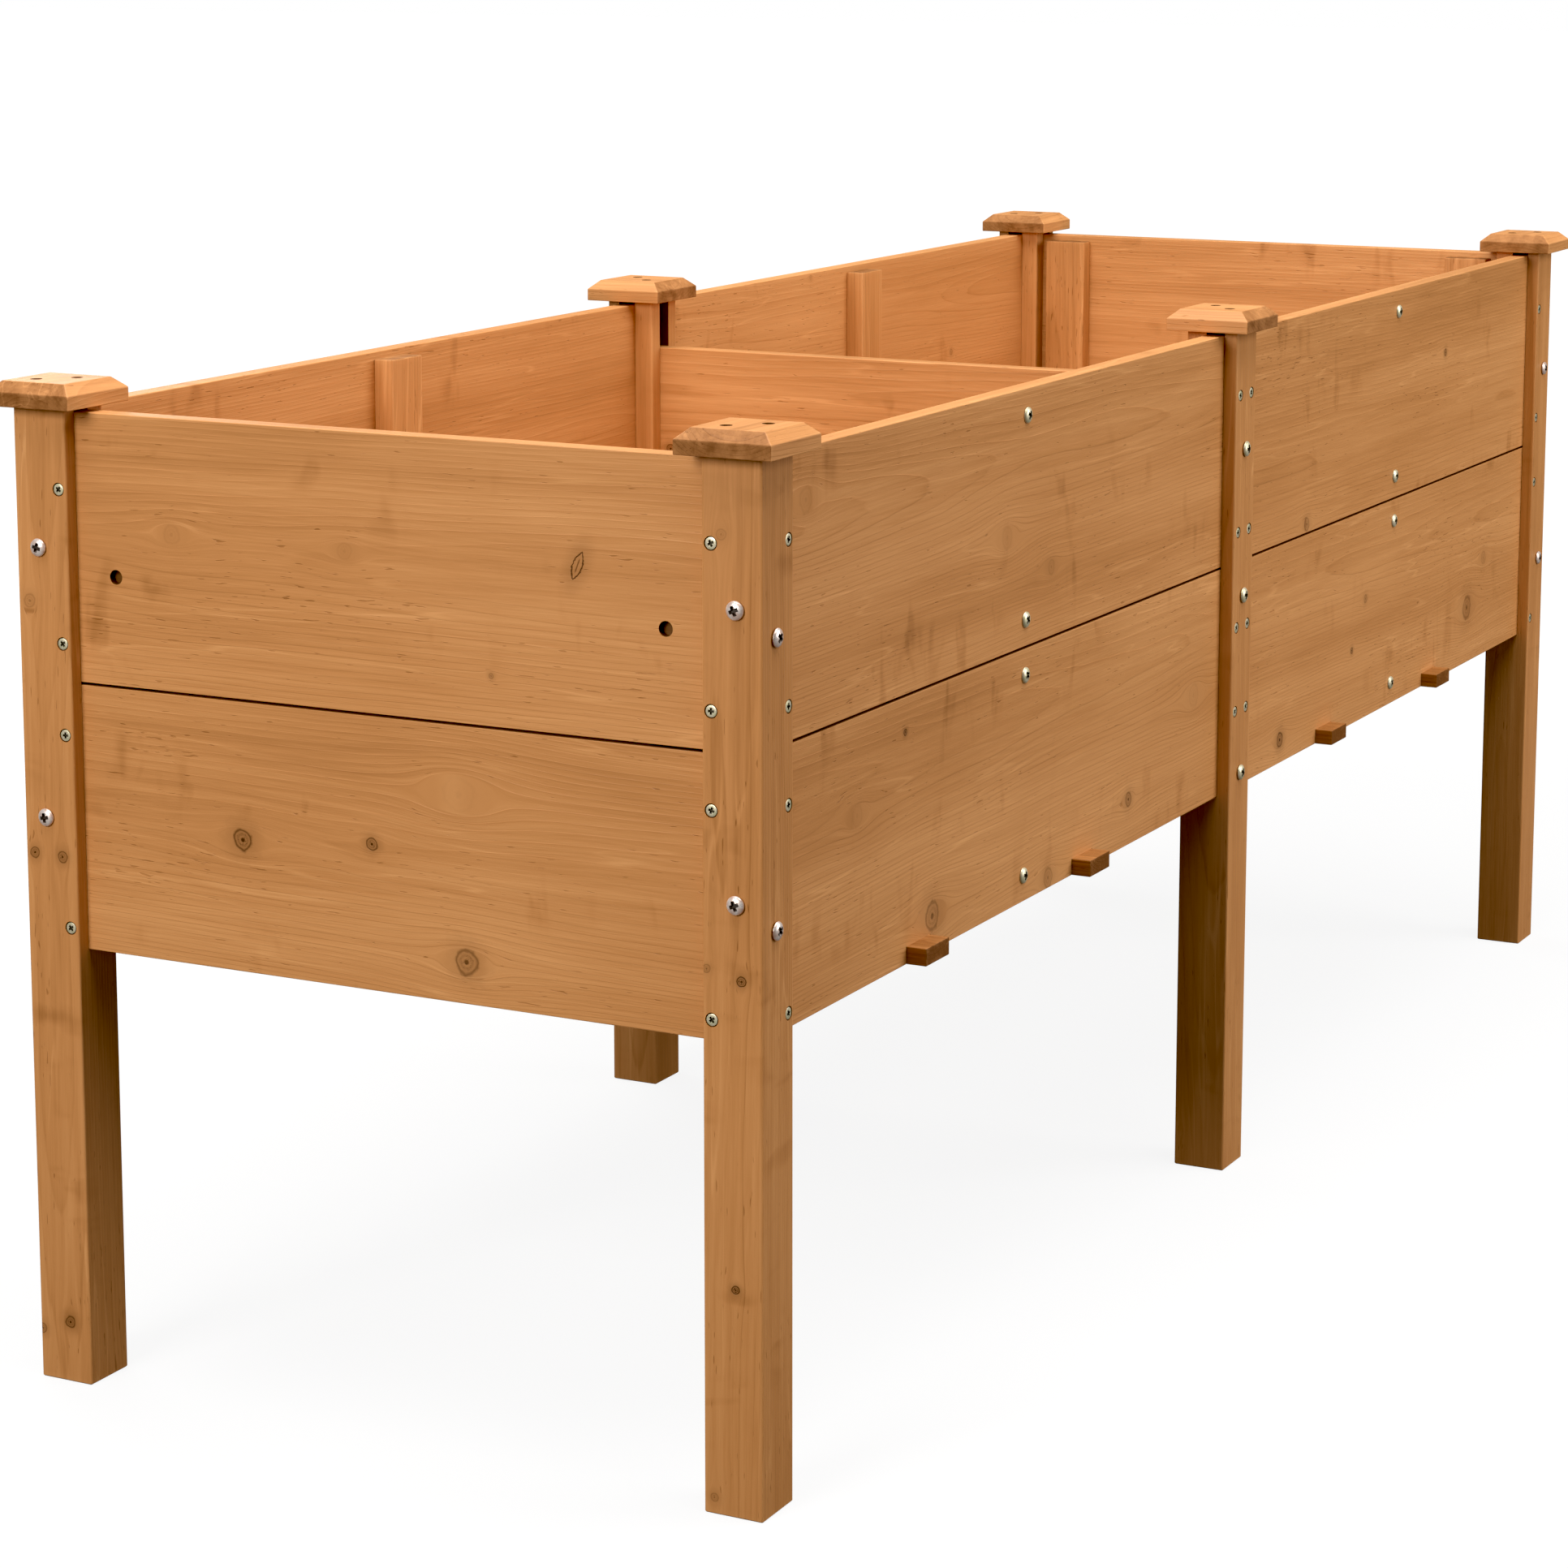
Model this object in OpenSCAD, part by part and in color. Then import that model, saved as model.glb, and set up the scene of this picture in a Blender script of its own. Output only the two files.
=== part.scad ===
// Raised planter on six posts: two planting bays between grooved posts, board walls,
// slatted floors on cross bearers, and a bevelled cap on every post.
// Millimetres. X runs along the length, Y across the width and Z up. The origin is on
// the ground under the middle of the planter.
// Sides are numbers: -1 is front or left, +1 is back or right. Levels: 0 lower, 1 upper.

/* [Overall] */
// Length over the caps
overall_l = 1829; // [1300:1:2400]
// Width over the caps
overall_w = 646; // [480:1:900]
// Height from the ground to the top of the caps
overall_h = 762; // [560:1:960]

/* [Posts] */
// Side of the square posts
post_w = 46; // [45:1:60]
// Radius on the posts' long edges
post_edge = 2.5; // [1:0.5:5]
// Depth of the grooves that hold the board ends
groove_d = 15; // [10:1:15]
// Clearance on each side of a board in its groove
groove_fit = 0.3; // [0.1:0.1:1]
// Clearance between a board's end and the bottom of its groove
end_play = 0.5; // [0.2:0.1:2]

/* [Caps] */
// How far a cap overhangs its post on each side
cap_overhang = 14; // [6:1:24]
// Thickness of the caps
cap_h = 18.5; // [15:0.5:30]
// Height of a cap's upright sides, under the bevel
cap_side_h = 10.5; // [6:0.5:13]
// Width of the bevel round a cap's top
cap_bevel = 9; // [4:0.5:12]
// Distance of the cap screws from the cap's centre, along X and along Y
cap_screw_offset = 10.5; // [8:0.5:13]
// Depth of the cap screws' heads below the cap's top
cap_screw_sink = 3; // [1:0.5:5]
// Diameter of the sunk holes over the cap screws
cap_screw_hole_d = 9; // [8.8:0.1:12]

/* [Wall boards] */
// Height of one wall board
board_h = 201; // [140:1:245]
// Thickness of the wall boards
board_t = 16; // [12:0.5:18.5]
// Joint between the lower and the upper board
board_gap = 1.5; // [0.5:0.5:3]
// Radius on the boards' long edges
board_edge = 1.5; // [0.5:0.5:3]
// Distance from the posts' outer face back to the boards' outer face
board_recess = 12; // [8:1:12]
// Gap between the boards' top edge and the underside of the caps
rim_gap = 3.5; // [2:0.5:8]
// How far the divider's top lies below the rim
divider_drop = 40; // [0:5:80]

/* [Battens and cleats] */
// Width of the inner battens and cleats
batten_w = 45; // [30:1:60]
// Thickness of the inner battens and cleats
batten_t = 18; // [15:0.5:24]
// Distance of their top ends below the rim
batten_drop = 6; // [2:1:20]
// Distance from the posts' outer face to the middle of an end cleat
cleat_inset = 80; // [78:1:110]

/* [Floor] */
// Width of the cross bearers
bearer_w = 40; // [30:1:55]
// Thickness of the cross bearers
bearer_t = 13.5; // [11:0.5:20]
// How far the bearers stand out from the long walls
bearer_reach = 16; // [0:1:18]
// Clearance on each side of a bearer in its notch
notch_fit = 1; // [0.5:0.5:3]
// First bearer's place along X, from the middle of its bay
bearer_a = -190; // [-220:5:-100]
// Second bearer's place along X, from the middle of its bay
bearer_b = 117; // [100:1:200]
// Thickness of the floor slats
slat_t = 16; // [12:0.5:20]
// Gap between the floor slats, for drainage
slat_gap = 6; // [3:1:12]
// Clearance round the floor, and round what it is notched for
slat_fit = 1.5; // [1:0.5:4]

/* [Small countersunk screws] */
// Shank diameter
small_d = 4; // [3:0.5:5]
// Head diameter
small_head_d = 8.5; // [7:0.5:10]
// Length
small_len = 34; // [30:1:36]
// Distance from a corner post's inner edge
corner_inset = 7; // [5:0.5:9]
// Distance from a middle post's side edge
middle_inset = 10; // [7:0.5:11]

/* [Large dome-head screws] */
// Shank diameter
large_d = 5.5; // [4:0.5:6]
// Head diameter
large_head_d = 13.5; // [10:0.5:15]
// Height of the domed head
large_head_h = 4; // [2.5:0.5:5]
// Length
large_len = 70; // [55:1:72]
// How far the screws in the long faces sit below those in the end faces
cross_drop = 20; // [12:1:40]

/* [Batten, cleat and floor screws] */
// Shank diameter of the batten screws
batten_screw_d = 4.5; // [3:0.5:5]
// Head diameter of the batten screws
batten_head_d = 12.8; // [9:0.2:14]
// Height of their domed heads
batten_head_h = 3; // [2:0.5:4]
// Length of the batten screws
batten_screw_len = 30; // [26:1:30]
// Distance of the batten screws from a board's upper and lower edge
batten_screw_edge = 21; // [15:1:40]
// Diameter of the sunk holes over the outer cleat screws
sunk_hole_d = 11; // [9.5:0.5:14]
// Depth of those holes
sunk_hole_depth = 6; // [3:0.5:8]
// Height of the outer cleat screws above the upper board's lower edge
cleat_screw_h = 81; // [60:1:100]
// Length of the cleat screws
cleat_screw_len = 24; // [20:1:26]
// Length of the screws that hold the bearers up
bearer_screw_len = 50; // [35:1:60]
// Length of the floor screws
floor_screw_len = 25; // [22:1:26]
// Length of the cap screws
cap_screw_len = 45; // [35:1:60]
// Clearance between a screw and its hole
bore_fit = 0.1; // [0.05:0.05:0.3]

/* [Hidden] */
$fn = 32;
cut = 1;                     // how far a cut runs past the face it opens
wood = [0.72, 0.48, 0.26];
zinc = [0.80, 0.77, 0.62];
chrome = [0.82, 0.82, 0.84];

// Small screws in a corner post: distance from the lower edge and from the upper edge
// of the lower board, then of the upper board
corner_screw_edges = [[18, 37], [30, 56.5]];
// The same for the middle posts
middle_screw_edges = [[75, 52], [30, 52]];
// Divider screws above the divider's lower edge
divider_screw_zs = [19, 176, 304];
// How deep a cross recess is cut, and its arms, as parts of the head's diameter
recess_depth = 0.2;
recess_arm_l = 0.52;
recess_arm_w = 0.13;
tip_l = 4;                   // length of a screw's pointed end
slat_rows = 4;               // floor slats in a bay

span_l = overall_l - 2 * cap_overhang;          // over the posts, along X
span_w = overall_w - 2 * cap_overhang;          // over the posts, along Y
post_h = overall_h - cap_h;
rim_z = post_h - rim_gap;
wall_z = rim_z - 2 * board_h - board_gap;       // lower edge of the walls
board_in = board_recess + board_t;              // post face to a board's inner face
groove_end = post_w - groove_d;                 // post face to a groove's bottom
bay_x = [-span_l / 2 + board_in + slat_fit, -board_t / 2 - slat_fit];
bay_mid = (span_l / 2 - post_w / 2) / 2;         // middle of the boards seen in a bay
slat_z = wall_z + bearer_t;
floor_z = slat_z + slat_t;
floor_half = span_w / 2 - board_in - slat_fit;  // half the floor's width
slat_w = (2 * floor_half - (slat_rows - 1) * slat_gap) / slat_rows;
small_head_h = (small_head_d - small_d) / 2 * 0.9;
LEVELS = [0, 1];
SIDES = [-1, 1];

function board_z(level) = wall_z + level * (board_h + board_gap);
function edge_zs(edges, level) = [board_z(level) + edges[level][0],
                                  board_z(level) + board_h - edges[level][1]];
function bearer_x(bay, which) = bay * bay_mid + (which == 0 ? bearer_a : bearer_b);
function slat_y(row) = -floor_half + slat_w / 2 + row * (slat_w + slat_gap);

// ---- Shapes that repeat ----

// Rectangle with rounded corners, from the origin
module eased_rectangle(a, b, r) {
    translate([r, 0]) square([a - 2 * r, b]);
    translate([0, r]) square([a, b - 2 * r]);
    for (x = [r, a - r], y = [r, b - r]) translate([x, y]) circle(r = r);
}

// Bar along X with eased long edges, from the origin
module bar_x(l, w, h, r) {
    translate([0, w, 0]) rotate([90, 0, 90]) mirror([1, 0, 0])
        linear_extrude(height = l) eased_rectangle(w, h, r);
}

// Bar along Y with eased long edges, from the origin
module bar_y(l, w, h, r) {
    translate([0, l, 0]) rotate([90, 0, 0]) linear_extrude(height = l) eased_rectangle(w, h, r);
}

// Upright bar with eased long edges, from the origin
module bar_z(l, w, h, r) {
    linear_extrude(height = l) eased_rectangle(w, h, r);
}

// Turns a piece drawn for the front left round to another corner
module corner(end, side) {
    mirror([end > 0 ? 1 : 0, 0, 0]) mirror([0, side > 0 ? 1 : 0, 0]) children();
}

// Cross recess, opening upwards at z = 0
module cross_recess(head_d) {
    for (a = [0, 90]) rotate([0, 0, a])
        translate([-head_d * recess_arm_l / 2, -head_d * recess_arm_w / 2, -cut])
            cube([head_d * recess_arm_l, head_d * recess_arm_w, cut + head_d * recess_depth]);
}

// Screw shank along +Z with a pointed end
module shank(d, l) {
    cylinder(h = l - tip_l, d = d);
    translate([0, 0, l - tip_l]) cylinder(h = tip_l, d1 = d, d2 = d / 4);
}

// Countersunk screw: head flush with z = 0, shank along +Z
module flat_screw(l) {
    difference() {
        union() {
            cylinder(h = small_head_h, d1 = small_head_d, d2 = small_d);
            shank(small_d, l);
        }
        cross_recess(small_head_d);
    }
}

// Room for a countersunk screw; sink is the depth of a straight hole over its head
module flat_screw_hole(l, hole_d = small_head_d + 2 * bore_fit, sink = 0) {
    translate([0, 0, -sink - cut]) cylinder(h = sink + cut, d = hole_d);
    cylinder(h = small_head_h, d1 = small_head_d + 2 * bore_fit, d2 = small_d + 2 * bore_fit);
    cylinder(h = l + bore_fit, d = small_d + 2 * bore_fit);
}

// Dome-head screw: the head stands on z = 0, shank along +Z
module dome_screw(d, head_d, head_h, l) {
    ball_r = (pow(head_d / 2, 2) + pow(head_h, 2)) / (2 * head_h);
    difference() {
        union() {
            intersection() {
                translate([0, 0, ball_r - head_h]) sphere(r = ball_r);
                translate([0, 0, -2 * head_h]) cylinder(h = 2 * head_h, d = head_d + 2);
            }
            shank(d, l);
        }
        translate([0, 0, -head_h]) cross_recess(head_d);
    }
}

// Room for a dome-head screw's shank
module dome_screw_hole(d, l) {
    translate([0, 0, -cut]) cylinder(h = l + cut + bore_fit, d = d + 2 * bore_fit);
}

// ---- Where the screws go: children point along the way they are driven ----

// Driven into a long side, inset from the posts' outer face
module into_side(side, x, z, inset = 0) {
    translate([x, side * (span_w / 2 - inset), z]) rotate([90 * side, 0, 0]) children();
}

// Driven into an end, inset from the posts' outer face
module into_end(end, y, z, inset = 0) {
    translate([end * (span_l / 2 - inset), y, z]) rotate([0, -90 * end, 0]) children();
}

// Small screws that pin the ends of one long board
module long_board_pins(side, bay, level) {
    for (z = edge_zs(corner_screw_edges, level))
        into_side(side, bay * (span_l / 2 - post_w + corner_inset), z) children();
    for (z = edge_zs(middle_screw_edges, level))
        into_side(side, bay * (post_w / 2 - middle_inset), z) children();
}

// Small screws that pin one end of an end board
module end_board_pins(end, side, level) {
    for (z = edge_zs(corner_screw_edges, level))
        into_end(end, side * (span_w / 2 - post_w + corner_inset), z) children();
}

// Large screw through a corner post into the end of a long board
module long_board_end_spot(side, bay, level) {
    into_end(bay, side * (span_w / 2 - board_recess - board_t / 2),
             board_z(level) + board_h / 2) children();
}

// Large screw through a corner post into the end of an end board
module end_board_end_spot(end, side, level) {
    into_side(side, end * (span_l / 2 - board_recess - board_t / 2),
              board_z(level) + board_h / 2 - cross_drop) children();
}

// Screws through a middle post into the divider
module divider_spots(side) {
    for (z = divider_screw_zs) into_side(side, 0, wall_z + z) children();
}

// Screws through a long board into its batten
module batten_spots(side, bay, level) {
    for (z = [batten_screw_edge, board_h - batten_screw_edge])
        into_side(side, bay * bay_mid, board_z(level) + z, board_recess) children();
}

// Sunk screw through the upper end board into a cleat
module outer_cleat_spot(end, side) {
    into_end(end, side * (span_w / 2 - cleat_inset), board_z(1) + cleat_screw_h,
             board_recess + sunk_hole_depth) children();
}

// Screw from inside through a cleat into the lower end board
module inner_cleat_spot(end, side) {
    into_end(end, side * (span_w / 2 - cleat_inset), board_z(0) + board_h / 2,
             board_in + batten_t) rotate([180, 0, 0]) children();
}

// Screws down through a cap into its post; turn swaps the diagonal they lie on
module cap_spots(x, y, turn) {
    for (s = SIDES)
        translate([x + s * cap_screw_offset, y - s * turn * cap_screw_offset,
                   overall_h - cap_screw_sink]) rotate([180, 0, 0]) children();
}

// The same over a corner post and a middle post
module corner_cap_spots(end, side) {
    cap_spots(end * (span_l - post_w) / 2, side * (span_w - post_w) / 2, 1) children();
}

module middle_cap_spots(side) {
    cap_spots(0, side * (span_w - post_w) / 2, -1) children();
}

// Screw up through a bearer's end into the lower edge of a long board
module bearer_spot(bay, which, side) {
    translate([bearer_x(bay, which), side * (span_w / 2 - board_recess - board_t / 2), wall_z])
        children();
}

// Screws down through one floor slat into the bearers
module slat_spots(bay, row) {
    for (which = [0, 1])
        translate([bearer_x(bay, which), slat_y(row), floor_z]) rotate([180, 0, 0]) children();
}

// ---- Posts and caps ----

// Groove across Y-running board ends, cut in a post's inner Y face, from above
module end_board_groove() {
    translate([board_recess - groove_fit, groove_end, wall_z])
        cube([board_t + 2 * groove_fit, groove_d + cut, post_h - wall_z + cut]);
}

// Groove for X-running board ends, cut in a post's inner X face
module long_board_groove(from_x) {
    translate([from_x, board_recess - groove_fit, wall_z])
        cube([groove_d + cut, board_t + 2 * groove_fit, post_h - wall_z + cut]);
}

module corner_post(end, side) {
    color(wood) difference() {
        corner(end, side) translate([-span_l / 2, -span_w / 2, 0]) difference() {
            bar_z(post_h, post_w, post_w, post_edge);
            end_board_groove();
            long_board_groove(groove_end);
        }
        for (level = LEVELS) {
            long_board_pins(side, end, level) flat_screw_hole(small_len);
            end_board_pins(end, side, level) flat_screw_hole(small_len);
            long_board_end_spot(side, end, level) dome_screw_hole(large_d, large_len);
            end_board_end_spot(end, side, level) dome_screw_hole(large_d, large_len);
        }
        corner_cap_spots(end, side) flat_screw_hole(cap_screw_len);
    }
}

module middle_post(side) {
    color(wood) difference() {
        corner(-1, side) translate([-post_w / 2, -span_w / 2, 0]) difference() {
            bar_z(post_h, post_w, post_w, post_edge);
            long_board_groove(groove_end);
            long_board_groove(-cut);
            translate([post_w / 2 - board_t / 2 - groove_fit, board_in + board_recess / 2, wall_z])
                cube([board_t + 2 * groove_fit, post_w, post_h - wall_z + cut]);
        }
        for (bay = SIDES, level = LEVELS) long_board_pins(side, bay, level)
            flat_screw_hole(small_len);
        divider_spots(side) dome_screw_hole(large_d, large_len);
        middle_cap_spots(side) flat_screw_hole(cap_screw_len);
    }
}

// Side view of a cap: upright sides, then the bevel up to the flat top
module cap_profile() {
    half = post_w / 2 + cap_overhang;
    polygon([[-half, 0], [half, 0], [half, cap_side_h], [half - cap_bevel, cap_h],
             [cap_bevel - half, cap_h], [-half, cap_side_h]]);
}

// Cap without its holes, centred on the Z axis
module cap_blank() {
    cap_w = post_w + 2 * cap_overhang;
    intersection() {
        rotate([90, 0, 0]) linear_extrude(height = cap_w, center = true) cap_profile();
        rotate([90, 0, 90]) linear_extrude(height = cap_w, center = true) cap_profile();
    }
}

module corner_cap(end, side) {
    color(wood) difference() {
        translate([end * (span_l - post_w) / 2, side * (span_w - post_w) / 2, post_h])
            cap_blank();
        corner_cap_spots(end, side)
            flat_screw_hole(cap_screw_len, cap_screw_hole_d, cap_screw_sink);
    }
}

module middle_cap(side) {
    color(wood) difference() {
        translate([0, side * (span_w - post_w) / 2, post_h]) cap_blank();
        middle_cap_spots(side)
            flat_screw_hole(cap_screw_len, cap_screw_hole_d, cap_screw_sink);
    }
}

// ---- Walls ----

module long_board(side, bay, level) {
    outer = span_l / 2 - groove_end - end_play;
    inner = post_w / 2 - groove_d + end_play;
    color(wood) difference() {
        translate([bay > 0 ? inner : -outer, side > 0 ? span_w / 2 - board_in :
                   board_recess - span_w / 2, board_z(level)])
            bar_x(outer - inner, board_t, board_h, board_edge);
        if (level == 0) for (which = [0, 1]) {
            translate([bearer_x(bay, which) - bearer_w / 2 - notch_fit,
                       side * (span_w / 2 - board_in / 2) - board_in, wall_z - cut])
                cube([bearer_w + 2 * notch_fit, 2 * board_in, bearer_t + cut]);
            bearer_spot(bay, which, side) flat_screw_hole(bearer_screw_len);
        }
        long_board_pins(side, bay, level) flat_screw_hole(small_len);
        long_board_end_spot(side, bay, level) dome_screw_hole(large_d, large_len);
        batten_spots(side, bay, level) dome_screw_hole(batten_screw_d, batten_screw_len);
        if (level == 1) {
            corner_cap_spots(bay, side) flat_screw_hole(cap_screw_len);
            middle_cap_spots(side) flat_screw_hole(cap_screw_len);
        }
    }
}

module end_board(end, level) {
    board_l = span_w - 2 * (groove_end + end_play);
    color(wood) difference() {
        translate([end > 0 ? span_l / 2 - board_in : board_recess - span_l / 2,
                   -board_l / 2, board_z(level)])
            bar_y(board_l, board_t, board_h, board_edge);
        for (side = SIDES) {
            end_board_pins(end, side, level) flat_screw_hole(small_len);
            end_board_end_spot(end, side, level) dome_screw_hole(large_d, large_len);
            if (level == 1) outer_cleat_spot(end, side)
                flat_screw_hole(cleat_screw_len, sunk_hole_d, sunk_hole_depth);
            else inner_cleat_spot(end, side) flat_screw_hole(cleat_screw_len);
            if (level == 1) corner_cap_spots(end, side) flat_screw_hole(cap_screw_len);
        }
    }
}

module divider_board(level) {
    board_l = span_w - 2 * (board_in + board_recess / 2 + end_play);
    h = level == 1 ? board_h - divider_drop : board_h;
    color(wood) difference() {
        translate([-board_t / 2, -board_l / 2, board_z(level)])
            bar_y(board_l, board_t, h, board_edge);
        for (side = SIDES) divider_spots(side) dome_screw_hole(large_d, large_len);
    }
}

module batten(side, bay) {
    color(wood) difference() {
        translate([bay * bay_mid - batten_w / 2,
                   side > 0 ? span_w / 2 - board_in - batten_t : board_in - span_w / 2, wall_z])
            bar_z(rim_z - batten_drop - wall_z, batten_w, batten_t, board_edge);
        for (level = LEVELS) batten_spots(side, bay, level)
            dome_screw_hole(batten_screw_d, batten_screw_len);
    }
}

module cleat(end, side) {
    bottom = floor_z + slat_fit;
    color(wood) difference() {
        translate([end > 0 ? span_l / 2 - board_in - batten_t : board_in - span_l / 2,
                   side * (span_w / 2 - cleat_inset) - batten_w / 2, bottom])
            bar_z(rim_z - batten_drop - bottom, batten_t, batten_w, board_edge);
        outer_cleat_spot(end, side) flat_screw_hole(cleat_screw_len);
        inner_cleat_spot(end, side) flat_screw_hole(cleat_screw_len);
    }
}

// ---- Floor ----

module bearer(bay, which) {
    bearer_l = span_w - 2 * board_recess + 2 * bearer_reach;
    color(wood) difference() {
        translate([bearer_x(bay, which) - bearer_w / 2, -bearer_l / 2, wall_z])
            cube([bearer_w, bearer_l, bearer_t]);
        for (side = SIDES) bearer_spot(bay, which, side) flat_screw_hole(bearer_screw_len);
        for (row = [0:slat_rows - 1]) slat_spots(bay, row) flat_screw_hole(floor_screw_len);
    }
}

// Upright block with the floor's clearance round it, that the slats are notched for
module slat_notch(x, y, l, w) {
    translate([x - l / 2 - slat_fit, y - w / 2 - slat_fit, slat_z - cut])
        cube([l + 2 * slat_fit, w + 2 * slat_fit, slat_t + 2 * cut]);
}

// One floor slat, cut round the posts and battens; row 0 is the front one
module floor_slat(bay, row) {
    color(wood) difference() {
        translate([bay > 0 ? -bay_x[1] : bay_x[0], slat_y(row) - slat_w / 2, slat_z])
            cube([bay_x[1] - bay_x[0], slat_w, slat_t]);
        for (side = SIDES) {
            post_y = side * (span_w - post_w) / 2;
            slat_notch(bay * (span_l - post_w) / 2, post_y, post_w, post_w);
            slat_notch(0, post_y, post_w, post_w);
            slat_notch(bay * bay_mid, side * (span_w / 2 - board_in - batten_t / 2),
                       batten_w, batten_t);
        }
        slat_spots(bay, row) flat_screw_hole(floor_screw_len);
    }
}

// ---- Screws ----

module post_screws() {
    color(zinc) for (side = SIDES, bay = SIDES, level = LEVELS) {
        long_board_pins(side, bay, level) flat_screw(small_len);
        end_board_pins(bay, side, level) flat_screw(small_len);
    }
}

module long_board_end_screws() {
    color(chrome) for (side = SIDES, bay = SIDES, level = LEVELS)
        long_board_end_spot(side, bay, level) dome_screw(large_d, large_head_d, large_head_h,
                                                         large_len);
}

module end_board_end_screws() {
    color(chrome) for (side = SIDES, end = SIDES, level = LEVELS)
        end_board_end_spot(end, side, level) dome_screw(large_d, large_head_d, large_head_h,
                                                        large_len);
}

module divider_screws() {
    color(zinc) for (side = SIDES)
        divider_spots(side) dome_screw(large_d, large_head_d, large_head_h, large_len);
}

module batten_screws() {
    color(zinc) for (side = SIDES, bay = SIDES, level = LEVELS)
        batten_spots(side, bay, level) dome_screw(batten_screw_d, batten_head_d, batten_head_h,
                                                  batten_screw_len);
}

module cleat_screws() {
    color(zinc) for (end = SIDES, side = SIDES) {
        outer_cleat_spot(end, side) flat_screw(cleat_screw_len);
        inner_cleat_spot(end, side) flat_screw(cleat_screw_len);
    }
}

module cap_screws() {
    color(zinc) for (side = SIDES) {
        for (end = SIDES) corner_cap_spots(end, side) flat_screw(cap_screw_len);
        middle_cap_spots(side) flat_screw(cap_screw_len);
    }
}

module bearer_screws() {
    color(zinc) for (bay = SIDES, which = [0, 1], side = SIDES)
        bearer_spot(bay, which, side) flat_screw(bearer_screw_len);
}

module floor_screws() {
    color(zinc) for (bay = SIDES, row = [0:slat_rows - 1])
        slat_spots(bay, row) flat_screw(floor_screw_len);
}

corner_post(-1, -1);  // front_left_post
middle_post(-1);  // front_middle_post
corner_post(1, -1);  // front_right_post
corner_post(-1, 1);  // back_left_post
middle_post(1);  // back_middle_post
corner_post(1, 1);  // back_right_post
corner_cap(-1, -1);  // front_left_cap
middle_cap(-1);  // front_middle_cap
corner_cap(1, -1);  // front_right_cap
corner_cap(-1, 1);  // back_left_cap
middle_cap(1);  // back_middle_cap
corner_cap(1, 1);  // back_right_cap
long_board(-1, -1, 0);  // front_left_lower_board
long_board(-1, -1, 1);  // front_left_upper_board
long_board(-1, 1, 0);  // front_right_lower_board
long_board(-1, 1, 1);  // front_right_upper_board
long_board(1, -1, 0);  // back_left_lower_board
long_board(1, -1, 1);  // back_left_upper_board
long_board(1, 1, 0);  // back_right_lower_board
long_board(1, 1, 1);  // back_right_upper_board
end_board(-1, 0);  // left_end_lower_board
end_board(-1, 1);  // left_end_upper_board
end_board(1, 0);  // right_end_lower_board
end_board(1, 1);  // right_end_upper_board
divider_board(0);  // divider_lower_board
divider_board(1);  // divider_upper_board
batten(-1, -1);  // front_left_batten
batten(-1, 1);  // front_right_batten
batten(1, -1);  // back_left_batten
batten(1, 1);  // back_right_batten
cleat(-1, -1);  // front_left_cleat
cleat(1, -1);  // front_right_cleat
cleat(-1, 1);  // back_left_cleat
cleat(1, 1);  // back_right_cleat
bearer(-1, 0);  // left_bay_bearer_a
bearer(-1, 1);  // left_bay_bearer_b
bearer(1, 0);  // right_bay_bearer_a
bearer(1, 1);  // right_bay_bearer_b
floor_slat(-1, 0);  // left_bay_slat_1
floor_slat(-1, 1);  // left_bay_slat_2
floor_slat(-1, 2);  // left_bay_slat_3
floor_slat(-1, 3);  // left_bay_slat_4
floor_slat(1, 0);  // right_bay_slat_1
floor_slat(1, 1);  // right_bay_slat_2
floor_slat(1, 2);  // right_bay_slat_3
floor_slat(1, 3);  // right_bay_slat_4
post_screws();
long_board_end_screws();
end_board_end_screws();
divider_screws();
batten_screws();
cleat_screws();
cap_screws();
bearer_screws();
floor_screws();
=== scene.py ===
import math
import random

import bmesh
import bpy
from bpy.props import FloatProperty, FloatVectorProperty, IntProperty, PointerProperty
from mathutils import Matrix, Vector


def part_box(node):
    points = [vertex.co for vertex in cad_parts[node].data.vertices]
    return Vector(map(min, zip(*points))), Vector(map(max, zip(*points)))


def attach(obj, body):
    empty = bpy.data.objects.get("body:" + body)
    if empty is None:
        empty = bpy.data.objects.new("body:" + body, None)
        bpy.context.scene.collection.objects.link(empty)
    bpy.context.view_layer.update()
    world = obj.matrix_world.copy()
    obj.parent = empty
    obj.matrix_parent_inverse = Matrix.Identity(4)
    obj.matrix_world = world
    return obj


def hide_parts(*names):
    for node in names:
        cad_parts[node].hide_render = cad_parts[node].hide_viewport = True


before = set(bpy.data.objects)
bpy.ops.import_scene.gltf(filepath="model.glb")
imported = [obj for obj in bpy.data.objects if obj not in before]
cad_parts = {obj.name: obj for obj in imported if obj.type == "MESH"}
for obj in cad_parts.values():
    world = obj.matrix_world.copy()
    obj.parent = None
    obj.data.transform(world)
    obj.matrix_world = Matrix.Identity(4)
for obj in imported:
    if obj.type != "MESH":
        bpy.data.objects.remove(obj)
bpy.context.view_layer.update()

bl_info = {
    "name": "Raised planter on legs",
    "version": (1, 0, 0),
    "blender": (4, 5, 0),
    "location": "View3D > Sidebar > Planter",
    "description": "Builds the timbers and screws of a raised planter around its CAD model",
    "category": "Object",
}

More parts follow.
